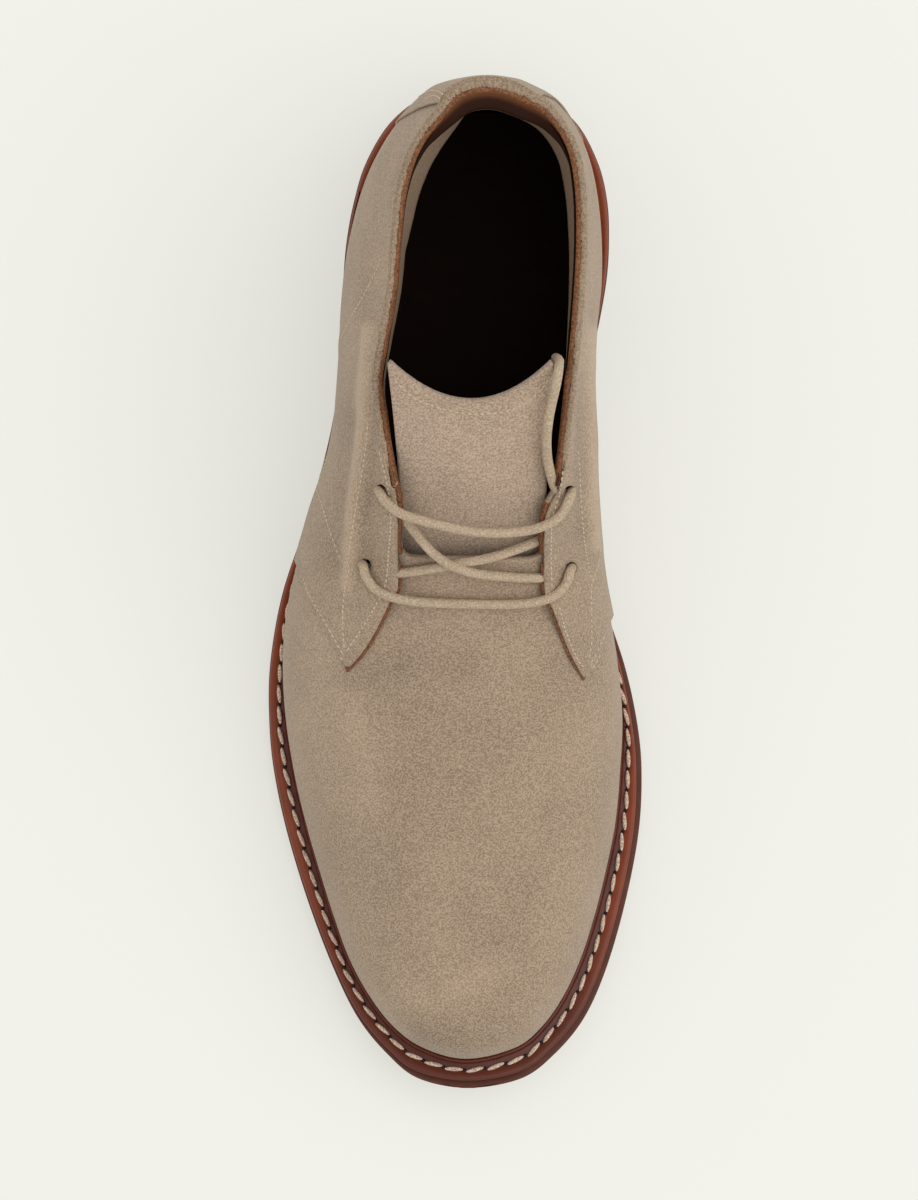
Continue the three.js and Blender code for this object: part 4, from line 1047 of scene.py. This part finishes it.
# Lace: one round waxed cotton lace. It comes out of the upper lateral eyelet as the top bar,
# crosses under the facings to the lower eyelets and lies loose, with no bow.
LACE_THICK = 2.8
LACE_RUN = [
    # photo pixel, then mm above the closed face of the instep
    (571, 494, -3.2), (571.5, 491, 0.0), (570, 497, 3.0), (563, 512, 3.4), (550, 523, 3.0),
    (530, 530, 2.0), (500, 533, 1.3), (470, 531, 1.2), (440, 525, 1.7), (420, 520, 2.6),
    (400, 513, 3.2), (386, 502, 3.2), (380, 493, 2.6), (378.5, 490, 0.0), (381, 493, -3.2),
    (390, 506, -3.0), (404, 519, -1.3), (415, 532, 0.4), (430, 550, 2.9), (445, 562, 4.2),
    (460, 569, 3.8), (480, 574, 3.2), (510, 577, 2.2), (534, 578, 1.6), (546, 577, 0.4),
    (559, 573, -1.8), (570, 568, -3.0), (571.5, 567, 0.0), (570, 572, 3.0), (565, 585, 3.2),
    (552, 597, 3.2), (530, 603, 2.3), (500, 604.5, 1.9), (450, 603.5, 1.9), (420, 602, 2.3),
    (395, 598, 3.3), (377, 590, 3.2), (367, 578, 3.0), (363.5, 567, 2.4), (362.5, 564, 0.0),
    (366, 567, -3.0), (378, 572, -1.8), (391, 573.5, 0.3), (405, 572.5, 1.8), (430, 569, 2.1),
    (455, 564, 2.1), (480, 560, 2.1), (500, 555, 1.1), (520, 548, -0.4), (540, 540, -1.5),
    (550, 536, -3.0),
]

waxed = Look("waxed_cotton_lace", Roughness=0.62, Specular_IOR_Level=0.3)
braid = waxed.noise(0.55, 1.0).over(0.3, 0.7)
dull = waxed.noise(5.0, 2.0)
waxed.feed("Base Color", waxed.blend(
    braid * 0.6 + dull * 0.4, shade(162, 141, 116), shade(212, 189, 162)))
waxed.bump(braid, 0.7, 0.3)


def lace_curve(name, points, nodes):
    """A round lace along a smooth line through points."""
    spots = [points[0] * 2 - points[1]] + points + [points[-1] * 2 - points[-2]]
    line = []
    for a, b, c, d in zip(spots, spots[1:], spots[2:], spots[3:]):
        line += [curve(a, b, c, d, s / 8) for s in range(8)]
    line.append(points[-1])
    data = bpy.data.curves.new(name, "CURVE")
    data.dimensions = "3D"
    data.bevel_depth = LACE_THICK / 2 * MM
    data.bevel_resolution = 3
    data.use_fill_caps = True
    spline = data.splines.new("POLY")
    spline.points.add(len(line) - 1)
    for knot, at in zip(spline.points, line):
        knot.co = (*at, 1.0)
    spline.use_smooth = True
    data.materials.append(waxed.material)
    made = bpy.data.objects.new(name, data)
    bpy.context.scene.collection.objects.link(made)
    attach(made, "root")
    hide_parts(*nodes)
    length = sum((b - a).length for a, b in zip(line, line[1:]))
    return made, line, length


# free end: tucked up beside the tongue and over its medial horn into the boot, in shares of the
# ball width, the sole's length and the ankle's height
TUCKED_END = [
    (0.240, 0.397, 0.886), (0.231, 0.382, 0.919), (0.228, 0.365, 0.968), (0.232, 0.348, 0.999),
    (0.240, 0.332, 1.022), (0.248, 0.319, 1.047), (0.254, 0.307, 1.055), (0.257, 0.298, 1.034),
    (0.258, 0.292, 0.980), (0.253, 0.288, 0.890),
]
# how it gets there from the upper medial eyelet, in the same shares
UNDER_FACING = [(0.268, 0.4135, 0.826), (0.251, 0.4085, 0.853)]

tucked, under = (
    [placed(x * BALL_WIDTH, u * SOLE_LENGTH, up * ANKLE_HEIGHT) for x, u, up in rows]
    for rows in (TUCKED_END, UNDER_FACING))
instep_bm = sheet(0.0, 8.0, 20.0, 1.0, 4.0, 160, 60)
instep_tree = BVHTree.FromBMesh(instep_bm)
instep_bm.free()
run = [tucked[0]] + under[::-1]
for x, y, height in LACE_RUN:
    way = sight(x, y)
    spot, normal = instep_tree.ray_cast(CAMERA_AT, way)[:2]
    run.append(spot - way * height / max(0.5, abs(normal.dot(way))) * MM)
lace_curve("lace_run", run, ["lace_top_bar", "lace_crossing", "lace_lower_bar"])
lace_end, end_line, end_length = lace_curve("lace_end", tucked, ["lace_end_medial"])


# Floor, lamps and camera: a plain pale floor, soft light all round with a broad lamp above, and
# the camera nearly straight over the boot.
LENS = 149.4
LAMP_AT = Vector((0.9, 0.2, 1.8))

paper = Look("pale_floor", Roughness=0.95, Specular_IOR_Level=0.1)
paper.surface.inputs["Base Color"].default_value = shade(165, 165, 160)
paper.surface.inputs["Emission Color"].default_value = shade(239, 239, 231)
paper.surface.inputs["Emission Strength"].default_value = 0.6
floor_bm = bmesh.new()
bmesh.ops.create_grid(floor_bm, x_segments=1, y_segments=1, size=6)
floor_mesh = bpy.data.meshes.new("floor")
floor_bm.to_mesh(floor_mesh)
floor_bm.free()
floor_mesh.materials.append(paper.material)
floor = bpy.data.objects.new("floor", floor_mesh)
bpy.context.scene.collection.objects.link(floor)

world = bpy.data.worlds.new("studio")
world.use_nodes = True
world.node_tree.nodes["Background"].inputs[0].default_value = (1.0, 1.0, 1.0, 1.0)
world.node_tree.nodes["Background"].inputs[1].default_value = 0.78
bpy.context.scene.world = world
bpy.context.scene.view_settings.view_transform = "Standard"

lamp_data = bpy.data.lights.new("softbox", "AREA")
lamp_data.energy = 13
lamp_data.size = 1.8
lamp = bpy.data.objects.new("softbox", lamp_data)
lamp.location = LAMP_AT
lamp.rotation_euler = (-LAMP_AT).to_track_quat("-Z", "Y").to_euler()
bpy.context.scene.collection.objects.link(lamp)

camera_data = bpy.data.cameras.new("camera")
camera_data.lens = LENS
camera_data.sensor_width = 36
camera = bpy.data.objects.new("camera", camera_data)
camera.location = CAMERA_AT
bpy.context.scene.collection.objects.link(camera)
bpy.context.scene.camera = camera
